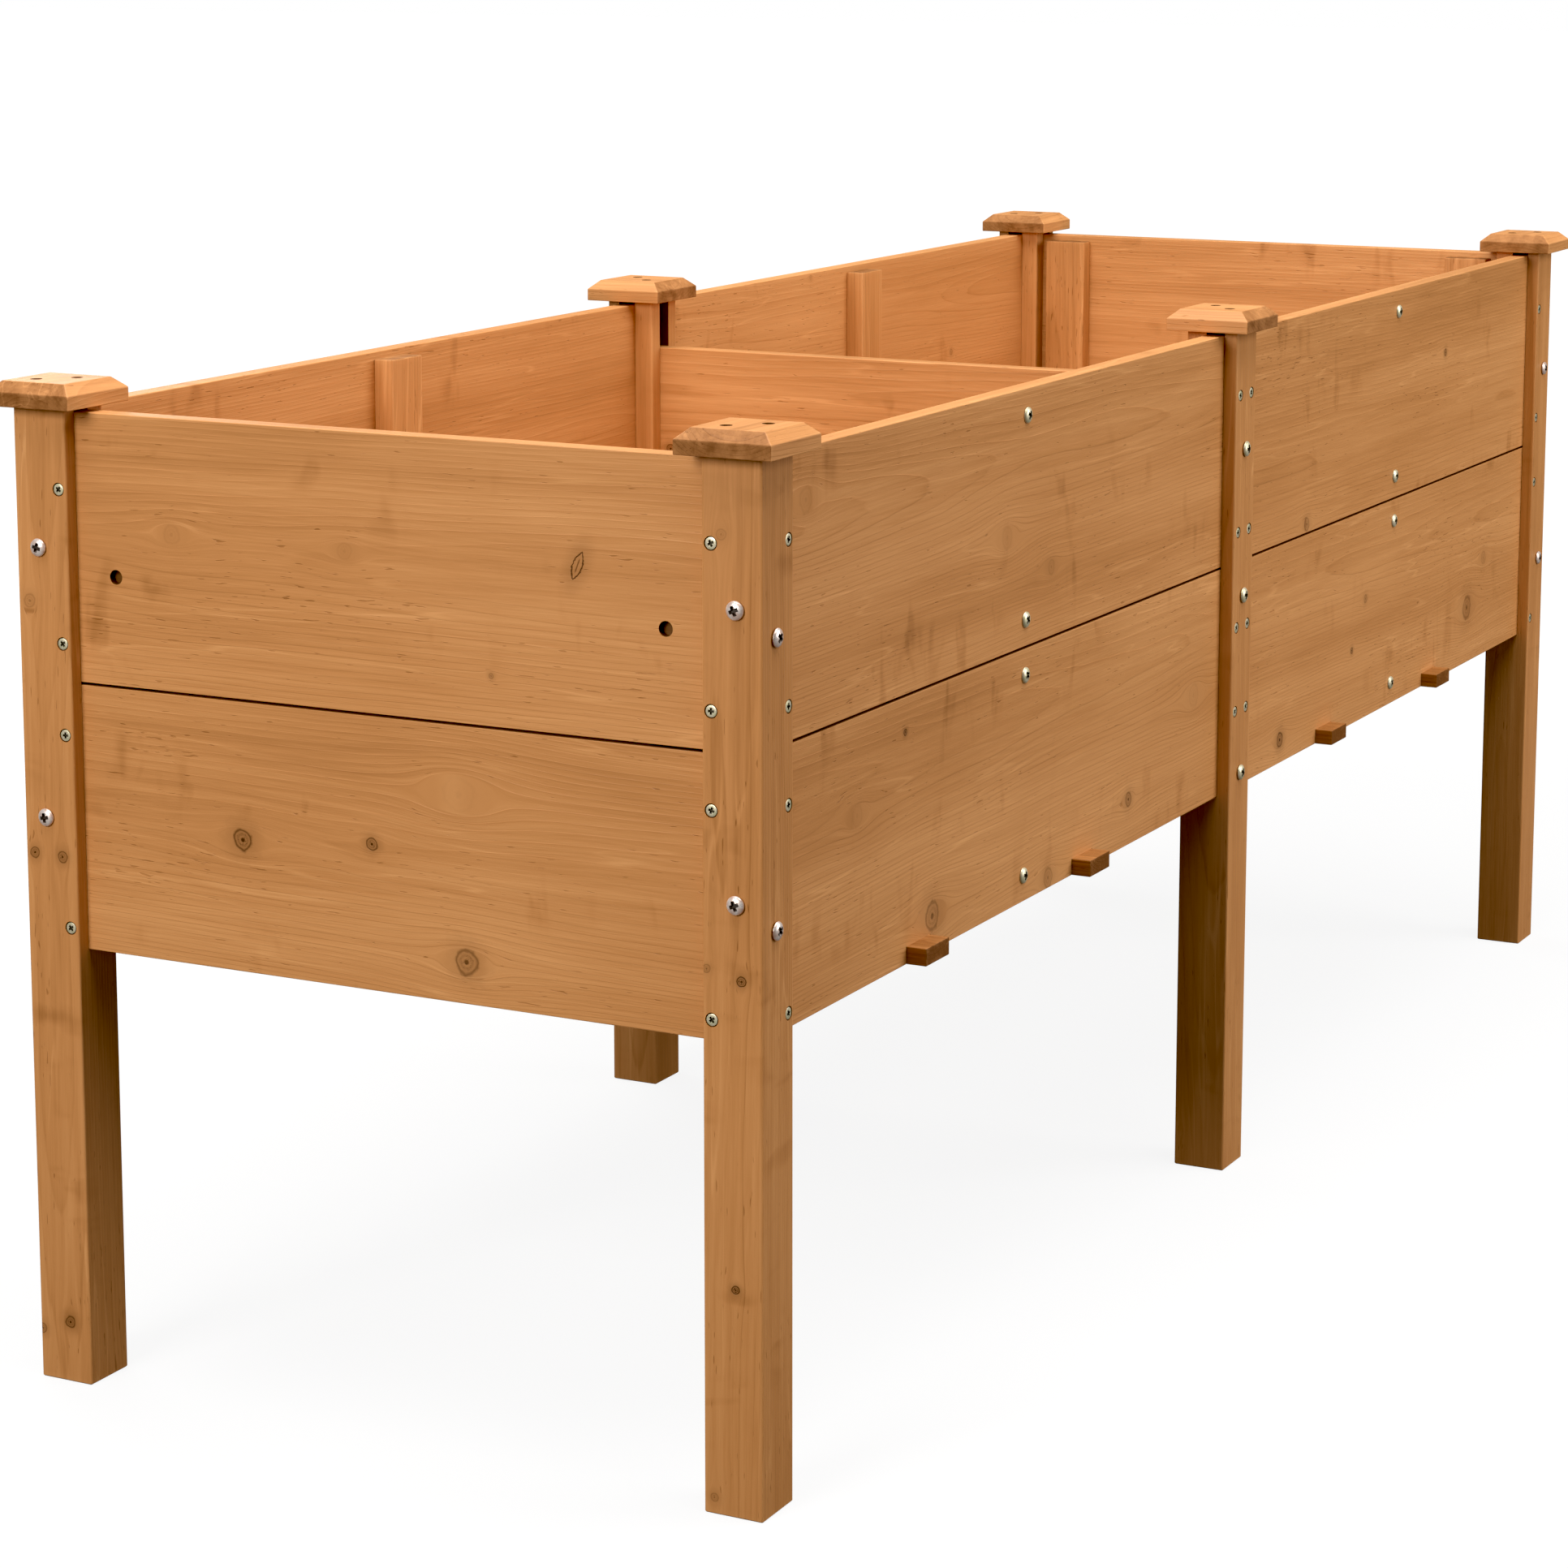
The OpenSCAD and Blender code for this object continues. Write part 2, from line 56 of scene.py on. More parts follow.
X, Y, Z = 0, 1, 2
SIDES = ("front", "back")
PLACES = ("left", "middle", "right")
ENDS = ("left", "right")
LEVELS = ("lower", "upper")
SUNK = 0.0002  # how far a flat screw head lies under the wood
PAST = 0.01  # how far a cutter reaches past the wood
OVER = 0.002  # how far a shallow cutter stands out of the wood
WELD = 1e-5  # how near to each other two points count as one
FLAT_SEAT, DOME_SEAT = 0.0016, 0.0003  # how deep a screw head's seat is cut
HEAD_NEAR = 0.0015  # how near to a timber's face the head of a screw in it lies
SUNK_NEAR, SUNK_OUT = 0.005, 0.012  # a sunk head's least cover, and its hole cutter's length
DOME_RISE = 0.42  # how high a dome head stands, as a share of its radius
FOOT_ARRIS, CAP_ARRIS = 0.0008, 0.0006  # edges of the posts' feet and of the caps
HOLLOW_FROM, HOLLOW_RUN = 0.0004, 0.0010  # how deep a face lies before it counts as in a hole, and so gets painted shade
SEAM_REACH = 0.003  # how far from a board's edge its bevel still belongs to the seam, which gets painted shade
SEAM_SLOPE, CAP_SLOPE = 0.3, (0.2, 0.98)  # upward share of a seam's and of a cap bevel's normal
END_FROM, END_RUN = 0.3, 0.5  # how far a face turns to the grain before it counts as end grain
PITH_ACROSS, PITH_DEPTH = 0.6, (0.030, 0.075)  # the pith's place: in half widths, and in metres
LEAN_ACROSS, LEAN_DEPTH = 0.02, 0.015  # how far a timber may lean off its log's line
LOG_START = 20  # metres of log that a timber may start in
FLOOR_SIZE, FLOOR_DROP = 60, 0.0002  # side of the studio floor, and how far it lies below the feet
FLOOR_NEAR, FLOOR_FAR = 0.9, 1.9  # where the floor's painted shadow round the planter starts to fade to white, and where the floor is white
FLOOR_WHITE = 1.03
SENSOR = 36.0  # width of the camera's sensor, in millimetres


# ---- Names of the timbers, by kind ----

POSTS = [f"{side}_{place}_post" for side in SIDES for place in PLACES]
CAPS = [f"{side}_{place}_cap" for side in SIDES for place in PLACES]
LONG_BOARDS = [f"{side}_{end}_{level}_board" for side in SIDES for end in ENDS for level in LEVELS]
END_BOARDS = [f"{end}_end_{level}_board" for end in ENDS for level in LEVELS]
DIVIDER_BOARDS = [f"divider_{level}_board" for level in LEVELS]
BATTENS = [f"{side}_{end}_batten" for side in SIDES for end in ENDS]
CLEATS = [f"{side}_{end}_cleat" for side in SIDES for end in ENDS]
SLATS = [f"{end}_bay_slat_{row}" for end in ENDS for row in range(1, 5)]
BEARERS = [f"{end}_bay_bearer_{which}" for end in ENDS for which in "ab"]
FLAT_SCREWS = ("post_screws", "cleat_screws", "bearer_screws", "floor_screws", "cap_screws")
ZINC_DOMES = ("divider_screws", "batten_screws")
NICKEL_DOMES = ("long_board_end_screws", "end_board_end_screws")
ALL_SCREWS = FLAT_SCREWS + ZINC_DOMES + NICKEL_DOMES


# Knots that show on the outside: where on the board (length, height), radius, darkness, in metres
KNOTS = {
    "left_end_upper_board": (
        (0.030, 0.654, 0.006, 0.10), (0.179, 0.655, 0.007, 0.12), (-0.090, 0.575, 0.002, 0.5),
    ),
    "left_end_lower_board": (
        (0.122, 0.435, 0.008, 0.75), (0.011, 0.444, 0.0045, 0.75), (-0.067, 0.367, 0.009, 0.6),
        (-0.062, 0.488, 0.013, 0.06),
    ),
    "front_left_lower_board": (
        (-0.605, 0.363, 0.011, 0.5), (-0.225, 0.375, 0.006, 0.6), (-0.653, 0.511, 0.0025, 0.9),
        (-0.390, 0.345, 0.008, 0.35), (-0.732, 0.465, 0.008, 0.10), (-0.082, 0.437, 0.010, 0.10),
    ),
    "front_left_upper_board": (
        (-0.390, 0.594, 0.006, 0.22), (-0.475, 0.629, 0.009, 0.10), (-0.813, 0.703, 0.009, 0.14),
    ),
    "front_right_lower_board": (
        (0.133, 0.358, 0.007, 0.75), (0.677, 0.394, 0.012, 0.5), (0.729, 0.435, 0.007, 0.25),
        (0.361, 0.452, 0.004, 0.5), (0.325, 0.408, 0.003, 0.8),
    ),
    "front_right_upper_board": ((0.586, 0.665, 0.0035, 0.8), (0.193, 0.547, 0.006, 0.5)),
    "front_left_post": (
        (-0.293, 0.384, 0.0035, 0.9), (-0.288, 0.165, 0.0030, 0.95), (-0.266, 0.390, 0.003, 0.45),
        (-0.278, 0.690, 0.004, 0.25), (-0.271, 0.012, 0.003, 0.4),
    ),
    "back_left_post": (
        (0.299, 0.599, 0.005, 0.3), (0.301, 0.409, 0.004, 0.7), (0.276, 0.408, 0.0045, 0.7),
        (0.281, 0.047, 0.0045, 0.75), (0.307, 0.038, 0.004, 0.6),
    ),
}


# Slivers of bark that show on the outside: where on the board, and half their length
SPLITS = {"left_end_upper_board": (-0.160, 0.658, 0.011)}


# ---- Sizes and colours that a maker would change ----


def metres(name, description, default, least, most):
    return FloatProperty(name=name, description=description, default=default, min=least,
                         max=most, unit="LENGTH")


def tint(name, description, default):
    return FloatVectorProperty(name=name, description=description, default=default, min=0,
                               max=1, subtype="COLOR")


class PlanterSizes(bpy.types.PropertyGroup):
    post_arris: metres(
        "Post arris", "Radius that the posts' long edges are eased to", 0.0018, 0.0005, 0.006)
    board_arris: metres(
        "Board arris", "Radius that the boards' edges are eased to", 0.0008, 0.0003, 0.004)
    slat_arris: metres(
        "Slat arris", "Radius on the sawn edges of slats, bearers and battens",
        0.0008, 0.0002, 0.003)
    cap_side: metres(
        "Cap side", "Height of a cap's upright sides, under its bevel", 0.0105, 0.004, 0.016)
    cap_bevel: metres(
        "Cap bevel", "Width of the sloping edge around a cap's flat top", 0.009, 0.002, 0.02)
    cap_hole: metres(
        "Cap hole", "Diameter of the hole above each cap screw", 0.009, 0.0086, 0.012)
    sunk_hole: metres(
        "Sunk hole", "Diameter of the hole above each screw sunk in an end board",
        0.011, 0.009, 0.014)
    groove_play: metres(
        "Groove play", "Room on each side of a board in its post's groove", 0.0003, 0.0001, 0.001)
    notch_play: metres(
        "Notch play", "Room beside a bearer in its notch", 0.001, 0.0002, 0.003)
    head_play: metres(
        "Screw seat play", "Bare ring of wood around a screw head", 0.0008, 0.0001, 0.002)
    recess_width: FloatProperty(
        name="Cross recess width",
        description="Width of one arm of the cross, as a share of the head",
        default=0.23, min=0.08, max=0.3, subtype="FACTOR")
    recess_length: FloatProperty(
        name="Cross recess length", description="Length of the cross, as a share of the head",
        default=0.64, min=0.3, max=0.8, subtype="FACTOR")
    screw_sides: IntProperty(
        name="Screw sides", description="Number of sides that a round screw is modelled with",
        default=20, min=8, max=32)


class PlanterFinish(bpy.types.PropertyGroup):
    stain: tint(
        "Stain", "Middle colour of the stained wood", (0.530, 0.240, 0.087))
    stain_pale: tint(
        "Pale stain", "Colour where the stain is thin", (0.78, 0.40, 0.165))
    stain_deep: tint(
        "Deep stain", "Colour of dense grain, where the stain is deep", (0.215, 0.079, 0.020))
    knot_heart: tint(
        "Knot", "Colour of a knot's dark heart", (0.075, 0.030, 0.010))
    grain_depth: metres(
        "Grain depth", "Height of the raised grain", 0.00045, 0, 0.003)
    ring_spacing: metres(
        "Ring spacing", "Thickness of one year's growth", 0.0030, 0.001, 0.02)
    zinc: tint(
        "Zinc", "Colour of the zinc plate", (0.82, 0.74, 0.54))
    zinc_tint: tint(
        "Zinc tint", "Greenish yellow of the passivated zinc", (0.66, 0.63, 0.41))
    nickel: tint(
        "Nickel", "Colour of the nickel plate", (0.93, 0.82, 0.75))
    nickel_tint: tint(
        "Nickel tint", "Warmer colour of the nickel in places", (0.80, 0.60, 0.50))
    stained_steel: tint(
        "Stained steel", "Colour of the screws that were stained over", (0.16, 0.085, 0.04))
    stained_steel_dark: tint(
        "Dark stained steel", "Colour of the stained screws' thick stain", (0.05, 0.024, 0.01))


class PlanterStage(bpy.types.PropertyGroup):
    camera_place: FloatVectorProperty(
        name="Camera place", description="Where the camera stands",
        default=(-3.2369, -1.5287, 1.1096), subtype="TRANSLATION", unit="LENGTH")
    camera_turn: FloatProperty(
        name="Camera turn", description="Camera's heading, from the length towards the back",
        default=math.radians(27.25), subtype="ANGLE")
    camera_tilt: FloatProperty(
        name="Camera tilt", description="How far the camera looks down",
        default=math.radians(9.20), subtype="ANGLE")
    lens: FloatProperty(
        name="Lens", description="Focal length on a 36 mm wide sensor, in millimetres",
        default=92.3, min=20, max=200)
    rise: FloatProperty(
        name="Lens shift", description="Vertical shift of the lens", default=-0.15, min=-1, max=1)
    # The floor's brightness near the planter, under a painted shadow that fades to white further
    # out
    floor: FloatProperty(
        name="Floor brightness", description="How bright the floor looks, before any lamp",
        default=0.88, min=0, max=2)
    black: FloatProperty(
        name="Black level", description="Darkest light that the print still shows",
        default=0.018, min=0, max=0.1)
    room: FloatProperty(
        name="Room brightness", description="Light from all round the room",
        default=0.10, min=0, max=3)


# ---- Modelling helpers ----


def deselect():
    if bpy.context.object and bpy.context.object.mode != "OBJECT":
        bpy.ops.object.mode_set(mode="OBJECT")
    bpy.ops.object.select_all(action="DESELECT")


def work_on(obj):
    deselect()
    obj.select_set(True)
    bpy.context.view_layer.objects.active = obj


def settle(obj):
    """Puts an object's place into its mesh."""
    work_on(obj)
    bpy.ops.object.transform_apply(location=True, rotation=True, scale=True)
    return obj


def block(name, low, high):
    """A box from corner to corner, as the start of a piece or of a cutter."""
    low, high = Vector(low), Vector(high)
    deselect()
    bpy.ops.mesh.primitive_cube_add(size=1, location=(low + high) / 2)
    obj = bpy.context.object
    obj.name = obj.data.name = name
    obj.scale = high - low
    return settle(obj)


def rod(name, radius, start, end, sides=24):
    """An upright or lying round bar between two points, as the start of a screw or of a cutter."""
    start, end = Vector(start), Vector(end)
    deselect()
    bpy.ops.mesh.primitive_cylinder_add(
        vertices=sides, radius=radius, depth=(end - start).length, location=(start + end) / 2,
        rotation=(end - start).to_track_quat("Z", "Y").to_euler())
    obj = bpy.context.object
    obj.name = obj.data.name = name
    return settle(obj)


def pick(obj, faces=None, edges=None):
    """Enters edit mode with only the faces or edges selected that the test chooses."""
    work_on(obj)
    bpy.ops.object.mode_set(mode="EDIT")
    bpy.ops.mesh.select_mode(type="FACE" if faces else "EDGE")
    bpy.ops.mesh.select_all(action="DESELECT")
    mesh = bmesh.from_edit_mesh(obj.data)
    for part, test in ((mesh.faces, faces), (mesh.edges, edges)):
        if test:
            for item in part:
                if test(item):
                    item.select_set(True)
    mesh.select_flush_mode()
    bmesh.update_edit_mesh(obj.data)


def done():
    bpy.ops.object.mode_set(mode="OBJECT")


def ease(obj, radius, test, segments=3):
    """Rounds the edges that the test chooses."""
    pick(obj, edges=test)
    bpy.ops.mesh.bevel(offset=radius, segments=segments, affect="EDGES", clamp_overlap=True)
    done()
    return obj


def lies_along(edge, axis):
    run = edge.verts[1].co - edge.verts[0].co
    return abs(run[axis]) > 0.99 * run.length


def grow(obj, axis, level, move, scale=1.0, about=(0, 0, 0)):
    """Extrudes the flat face at that level by move, and resizes its far end about a point."""
    pick(obj, faces=lambda f: all(abs(v.co[axis] - level) < 1e-6 for v in f.verts))
    bpy.ops.mesh.extrude_region_move(TRANSFORM_OT_translate={"value": move})
    if scale != 1.0:
        size = [scale] * 3
        size[axis] = 1
        bpy.ops.transform.resize(value=size, center_override=about)
    done()
    return obj


def join(objects, name):
    """Joins objects into one."""
    deselect()
    for obj in objects:
        obj.select_set(True)
    bpy.context.view_layer.objects.active = objects[0]
    if len(objects) > 1:
        bpy.ops.object.join()
    obj = bpy.context.object
    obj.name = obj.data.name = name
    return obj


def carve(obj, cutters):
    """Cuts the cutters out of a piece and throws them away."""
    if not cutters:
        return obj
    cutter = join(cutters, obj.name + "_cutter")
    work_on(obj)
    cut = obj.modifiers.new("Carve", "BOOLEAN")
    cut.operation, cut.solver, cut.object = "DIFFERENCE", "EXACT", cutter
    bpy.ops.object.modifier_apply(modifier=cut.name)
    bpy.data.objects.remove(cutter, do_unlink=True)
    return obj


def turn_outwards(obj):
    pick(obj, faces=lambda f: True)
    bpy.ops.mesh.normals_make_consistent(inside=False)
    done()


# ---- Where the CAD model has its screws ----


def screw_places(node):
    """(head centre, direction into the wood, head radius, length) of each screw in a CAD node."""
    mesh = bmesh.new()
    mesh.from_mesh(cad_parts[node].data)
    bmesh.ops.remove_doubles(mesh, verts=mesh.verts, dist=WELD)
    seen, places = set(), []
    for first in mesh.verts:
        if first in seen:
            continue
        seen.add(first)
        island, front = [first], [first]
        while front:
            for edge in front.pop().link_edges:
                for vert in edge.verts:
                    if vert not in seen:
                        seen.add(vert)
                        island.append(vert)
                        front.append(vert)
        points = [v.co.copy() for v in island]
        low = Vector([min(p[a] for p in points) for a in range(3)])
        high = Vector([max(p[a] for p in points) for a in range(3)])
        axis = max(range(3), key=lambda a: high[a] - low[a])
        length = high[axis] - low[axis]
        middle = (low + high) / 2

        def width(near, middle=middle, axis=axis, length=length, points=points):
            """Greatest radius in the third of the screw next to that end."""
            found = [p - middle for p in points if abs(p[axis] - near) < length * 0.3]
            for p in found:
                p[axis] = 0
            return max(p.length for p in found)

        at_high = width(high[axis]) > width(low[axis])
        head = middle.copy()
        head[axis] = high[axis] if at_high else low[axis]
        inward = Vector((0, 0, 0))
        inward[axis] = -1 if at_high else 1
        radius = width(head[axis])
        places.append((head, inward, radius, length))
    mesh.free()
    return sorted(places, key=lambda p: [round(c, 4) for c in p[0]])


def inside(point, node):
    low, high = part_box(node)
    return all(low[a] <= point[a] <= high[a] for a in range(3))


def screw_seats(node, play):
    """Cutters for the shallow ring that each screw head leaves bare in this timber."""
    cutters = []
    for screws in ALL_SCREWS:
        if screws in ("cap_screws", "cleat_screws"):
            continue
        domed = screws in ZINC_DOMES + NICKEL_DOMES
        for head, inward, radius, _ in SCREWS[screws]:
            face = head + inward * (DOME_RISE * radius if domed else 0)
            near = inward * HEAD_NEAR
            if inside(face + near, node) and not inside(face - near, node):
                depth = DOME_SEAT if domed else FLAT_SEAT
                cutters.append(rod("seat", radius + play, face - inward * OVER,
                                   face + inward * depth))
    return cutters


# ---- Cutting and laying up the wood ----

# How each kind of timber was sawn: the axis of its grain and the axis of its thickness
GRAIN = {name: (Z, X) for name in POSTS}
GRAIN.update({name: (Y if "middle" in name else X, Z) for name in CAPS})
GRAIN.update({name: (X, Y) for name in LONG_BOARDS})
GRAIN.update({name: (Y, X) for name in END_BOARDS + DIVIDER_BOARDS})
GRAIN.update({name: (Z, Y) for name in BATTENS})
GRAIN.update({name: (Z, X) for name in CLEATS})
GRAIN.update({name: (X, Z) for name in SLATS})
GRAIN.update({name: (Y, Z) for name in BEARERS})


def log_place(node):
    """Returns a function that gives a point's place in its log: along, across and out."""
    low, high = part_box(node)
    centre, size = (low + high) / 2, high - low
    along, depth = GRAIN[node]
    across = 3 - along - depth
    draw = random.Random(node)
    pith_across = draw.uniform(-PITH_ACROSS, PITH_ACROSS) * size[across] * 0.5
    pith_depth = draw.uniform(*PITH_DEPTH) * draw.choice((-1, 1))
    lean_across = draw.uniform(-LEAN_ACROSS, LEAN_ACROSS)
    lean_depth = draw.uniform(-LEAN_DEPTH, LEAN_DEPTH)
    start = draw.uniform(0, LOG_START)

    def place(point):
        run = point[along] - centre[along]
        return Vector((
            start + run,
            point[across] - centre[across] + pith_across + lean_across * run,
            point[depth] - centre[depth] + pith_depth + lean_depth * run))

    return place


def clamp(value):
    return min(1.0, max(0.0, value))


def write_attribute(mesh, name, kind, domain, field, values):
    made = mesh.attributes.new(name, kind, domain)
    flat = [c for value in values for c in value] if field == "vector" else list(values)
    made.data.foreach_set(field, flat)


def lay_grain(obj, node):
    """Gives a finished timber its place in a log, its own edges, its end grain, and a mask of
    painted shade for its holes, grooves, notches, screw seats and seams.
    """
    mesh = obj.data
    low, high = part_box(node)
    centre, half = (low + high) / 2, (high - low) / 2
    along, depth = GRAIN[node]
    order = (along, 3 - along - depth, depth)
    place = log_place(node)
    points = [v.co.copy() for v in mesh.vertices]
    shade = random.Random(node + " tone").uniform(-1, 1)
    ends, hollows = [0.0] * len(mesh.loops), [0.0] * len(mesh.loops)
    seam = {"lower": high.z, "upper": low.z}.get(node.split("_")[-2]) if "board" in node else None
    # Faces that lie deep in the timber's box (holes, grooves, notches, screw seats) and a board's
    # faces at its seam get painted shade; a cap's bevel does not
    for face in mesh.polygons:
        deep = min(half[a] - abs(face.center[a] - centre[a]) for a in range(3))
        bevel = node in CAPS and CAP_SLOPE[0] < abs(face.normal.z) < CAP_SLOPE[1]
        hollow_shade = 0.0 if bevel else clamp((deep - HOLLOW_FROM) / HOLLOW_RUN)
        if seam is not None and abs(face.normal.z) > SEAM_SLOPE:
            if abs(face.center.z - seam) < SEAM_REACH:
                hollow_shade = 1.0
        for corner in face.loop_indices:
            ends[corner] = clamp((abs(face.normal[along]) - END_FROM) / END_RUN)
            hollows[corner] = hollow_shade
    write_attribute(mesh, "grain", "FLOAT_VECTOR", "POINT", "vector", [place(p) for p in points])
    write_attribute(mesh, "inset", "FLOAT_VECTOR", "POINT", "vector",
                    [[p[a] - centre[a] for a in order] for p in points])
    write_attribute(mesh, "reach", "FLOAT_VECTOR", "POINT", "vector",
                    [[half[a] for a in order]] * len(points))
    write_attribute(mesh, "tone", "FLOAT", "POINT", "value", [shade] * len(points))
    write_attribute(mesh, "end_grain", "FLOAT", "CORNER", "value", ends)
    write_attribute(mesh, "hollow_shade", "FLOAT", "CORNER", "value", hollows)


def finish_timber(obj, node, slot):
    """Shades, stains and hangs a finished timber in place of its CAD node."""
    work_on(obj)
    bpy.ops.object.shade_flat()
    lay_grain(obj, node)
    obj.data.materials.clear()
    obj.data.materials.append(timber_material(node, slot))
    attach(obj, "root")
    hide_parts(node)
    return obj


# ---- Shader helpers ----


def put(tree, kind, inputs=None, **settings):
    """Adds a node, with its settings and with its inputs linked or set."""
    node = tree.nodes.new(kind)
    node.location = (len(tree.nodes) * 190, 0)
    for key, value in settings.items():
        setattr(node, key, value)
    for key, value in (inputs or {}).items():
        if isinstance(value, bpy.types.NodeSocket):
            tree.links.new(value, node.inputs[key])
        else:
            node.inputs[key].default_value = value
    return node


def attribute(tree, name, output="Fac"):
    return put(tree, "ShaderNodeAttribute", attribute_name=name).outputs[output]


def calc(tree, operation, *values, clamp=False):
    return put(tree, "ShaderNodeMath", dict(enumerate(values)), operation=operation,
               use_clamp=clamp).outputs[0]


def times(tree, a, b, clamp=False):
    return calc(tree, "MULTIPLY", a, b, clamp=clamp)


def fit(tree, value, by, up):
    """The value times by, plus up."""
    return calc(tree, "MULTIPLY_ADD", value, by, up)


def divide(tree, a, b):
    return calc(tree, "DIVIDE", a, b)


def minus(tree, a, b, clamp=False):
    return calc(tree, "SUBTRACT", a, b, clamp=clamp)


def larger(tree, a, b):
    return calc(tree, "MAXIMUM", a, b)


def smaller(tree, a, b):
    return calc(tree, "MINIMUM", a, b)


def plus(tree, first, *others, clamp=False):
    """The sum of the values, kept from 0 to 1 if clamp is on."""
    for number, value in enumerate(others, 1):
        first = calc(tree, "ADD", first, value, clamp=clamp and number == len(others))
    return first


def signed(tree, value, amount):
    """A noise of 0 to 1 as a swing of half the amount each way."""
    return times(tree, minus(tree, value, 0.5), amount)


def vector_calc(tree, operation, *values):
    node = put(tree, "ShaderNodeVectorMath", dict(enumerate(values)), operation=operation)
    return node.outputs["Value" if operation in ("LENGTH", "DOT_PRODUCT") else "Vector"]


def scaled(tree, vector, by):
    return vector_calc(tree, "MULTIPLY", vector, by)


def noise(tree, vector, stretch, detail=2.0, roughness=0.5, distortion=0.0):
    """Noise from 0 to 1 that has so many waves a metre along, across and through the grain."""
    return put(tree, "ShaderNodeTexNoise",
               {"Vector": scaled(tree, vector, stretch), "Scale": 1.0, "Detail": detail,
                "Roughness": roughness, "Distortion": distortion}).outputs["Fac"]


def ramp(tree, value, start, end, low=0.0, high=1.0, smooth=True):
    """Low before start, high after end, and a smooth change between them."""
    return put(tree, "ShaderNodeMapRange",
               {0: value, 1: start, 2: end, 3: low, 4: high},
               interpolation_type="SMOOTHSTEP" if smooth else "LINEAR").outputs[0]


def blend_colour(tree, factor, first, second):
    return put(tree, "ShaderNodeMix", {0: factor, 6: first, 7: second}, data_type="RGBA",
               clamp_factor=True).outputs[2]


def group(name, ins, outs):
    """A new shader node group with these sockets, and its two end nodes."""
    tree = bpy.data.node_groups.new(name, "ShaderNodeTree")
    kinds = {"v": "NodeSocketVector", "f": "NodeSocketFloat", "c": "NodeSocketColor"}
    for way, sockets in (("INPUT", ins), ("OUTPUT", outs)):
        for label, kind in sockets:
            tree.interface.new_socket(name=label, in_out=way, socket_type=kinds[kind])
    return tree, put(tree, "NodeGroupInput").outputs, put(tree, "NodeGroupOutput").inputs


def use(tree, name, **inputs):
    """Places a group in a tree. An input's name has _ where its socket has a space."""
    node = put(tree, "ShaderNodeGroup", node_tree=bpy.data.node_groups[name])
    for key, value in inputs.items():
        socket = node.inputs[key.replace("_", " ")]
        if isinstance(value, bpy.types.NodeSocket):
            tree.links.new(value, socket)
        else:
            socket.default_value = value
    return node.outputs


# ---- Shader groups for the wood ----


def knot_group():
    """One knot: the grain flows round it, and it has a dark rim, a ringed heart and a halo."""
    tree, ins, outs = group(
        "Knot", [("Grain", "v"), ("Centre", "v"), ("Radius", "f"), ("Darkness", "f")],
        [("Grain", "v"), ("Shade", "f")])
    away = vector_calc(tree, "SUBTRACT", ins["Grain"], ins["Centre"])
    flat = scaled(tree, away, (1, 1, 0))
    ragged = noise(tree, ins["Grain"], (150, 150, 150), 3)
    wobble = fit(tree, ragged, 0.6, 0.70)
    far = divide(tree, vector_calc(tree, "LENGTH", flat), ins["Radius"])
    near = times(tree, far, wobble)
    # the grain parts in a long lens shape
    lens = divide(tree, vector_calc(tree, "LENGTH", scaled(tree, away, (0.45, 1, 0))),
                  ins["Radius"])
    push = divide(tree, 1.6, fit(tree, lens, lens, 0.5))
    push = times(tree, push, ramp(tree, lens, 2.0, 8.0, 1.0, 0.0))
    keep = larger(tree, minus(tree, 1.0, push), 0.0)
    spread = put(tree, "ShaderNodeCombineXYZ", {0: 1.0, 1: keep, 2: 1.0}).outputs[0]
    parted = vector_calc(tree, "MULTIPLY", away, spread)
    tree.links.new(vector_calc(tree, "ADD", ins["Centre"], parted), outs["Grain"])
    rim = times(tree, ramp(tree, near, 0.70, 0.95), ramp(tree, near, 0.95, 1.20, 1, 0))
    heart = ramp(tree, near, 0.8, 1.15, 1, 0)
    rings = calc(tree, "SINE", times(tree, near, 15.0))
    rings = fit(tree, rings, 0.12, 0.32)
    specks = ramp(tree, noise(tree, ins["Grain"], (900, 900, 900), 1), 0.56, 0.66)
    core = plus(tree, times(tree, ramp(tree, near, 0.10, 0.30, 1, 0), 0.7),
                times(tree, specks, ramp(tree, near, 0.3, 0.9, 0.45, 0)))
    halo = times(tree, ramp(tree, near, 0.7, 3.0, 1, 0), 0.30)
    total = fit(tree, heart, rings, times(tree, rim, 0.50))
    total = plus(tree, total, plus(tree, core, halo))
    tree.links.new(times(tree, total, ins["Darkness"], clamp=True), outs["Shade"])


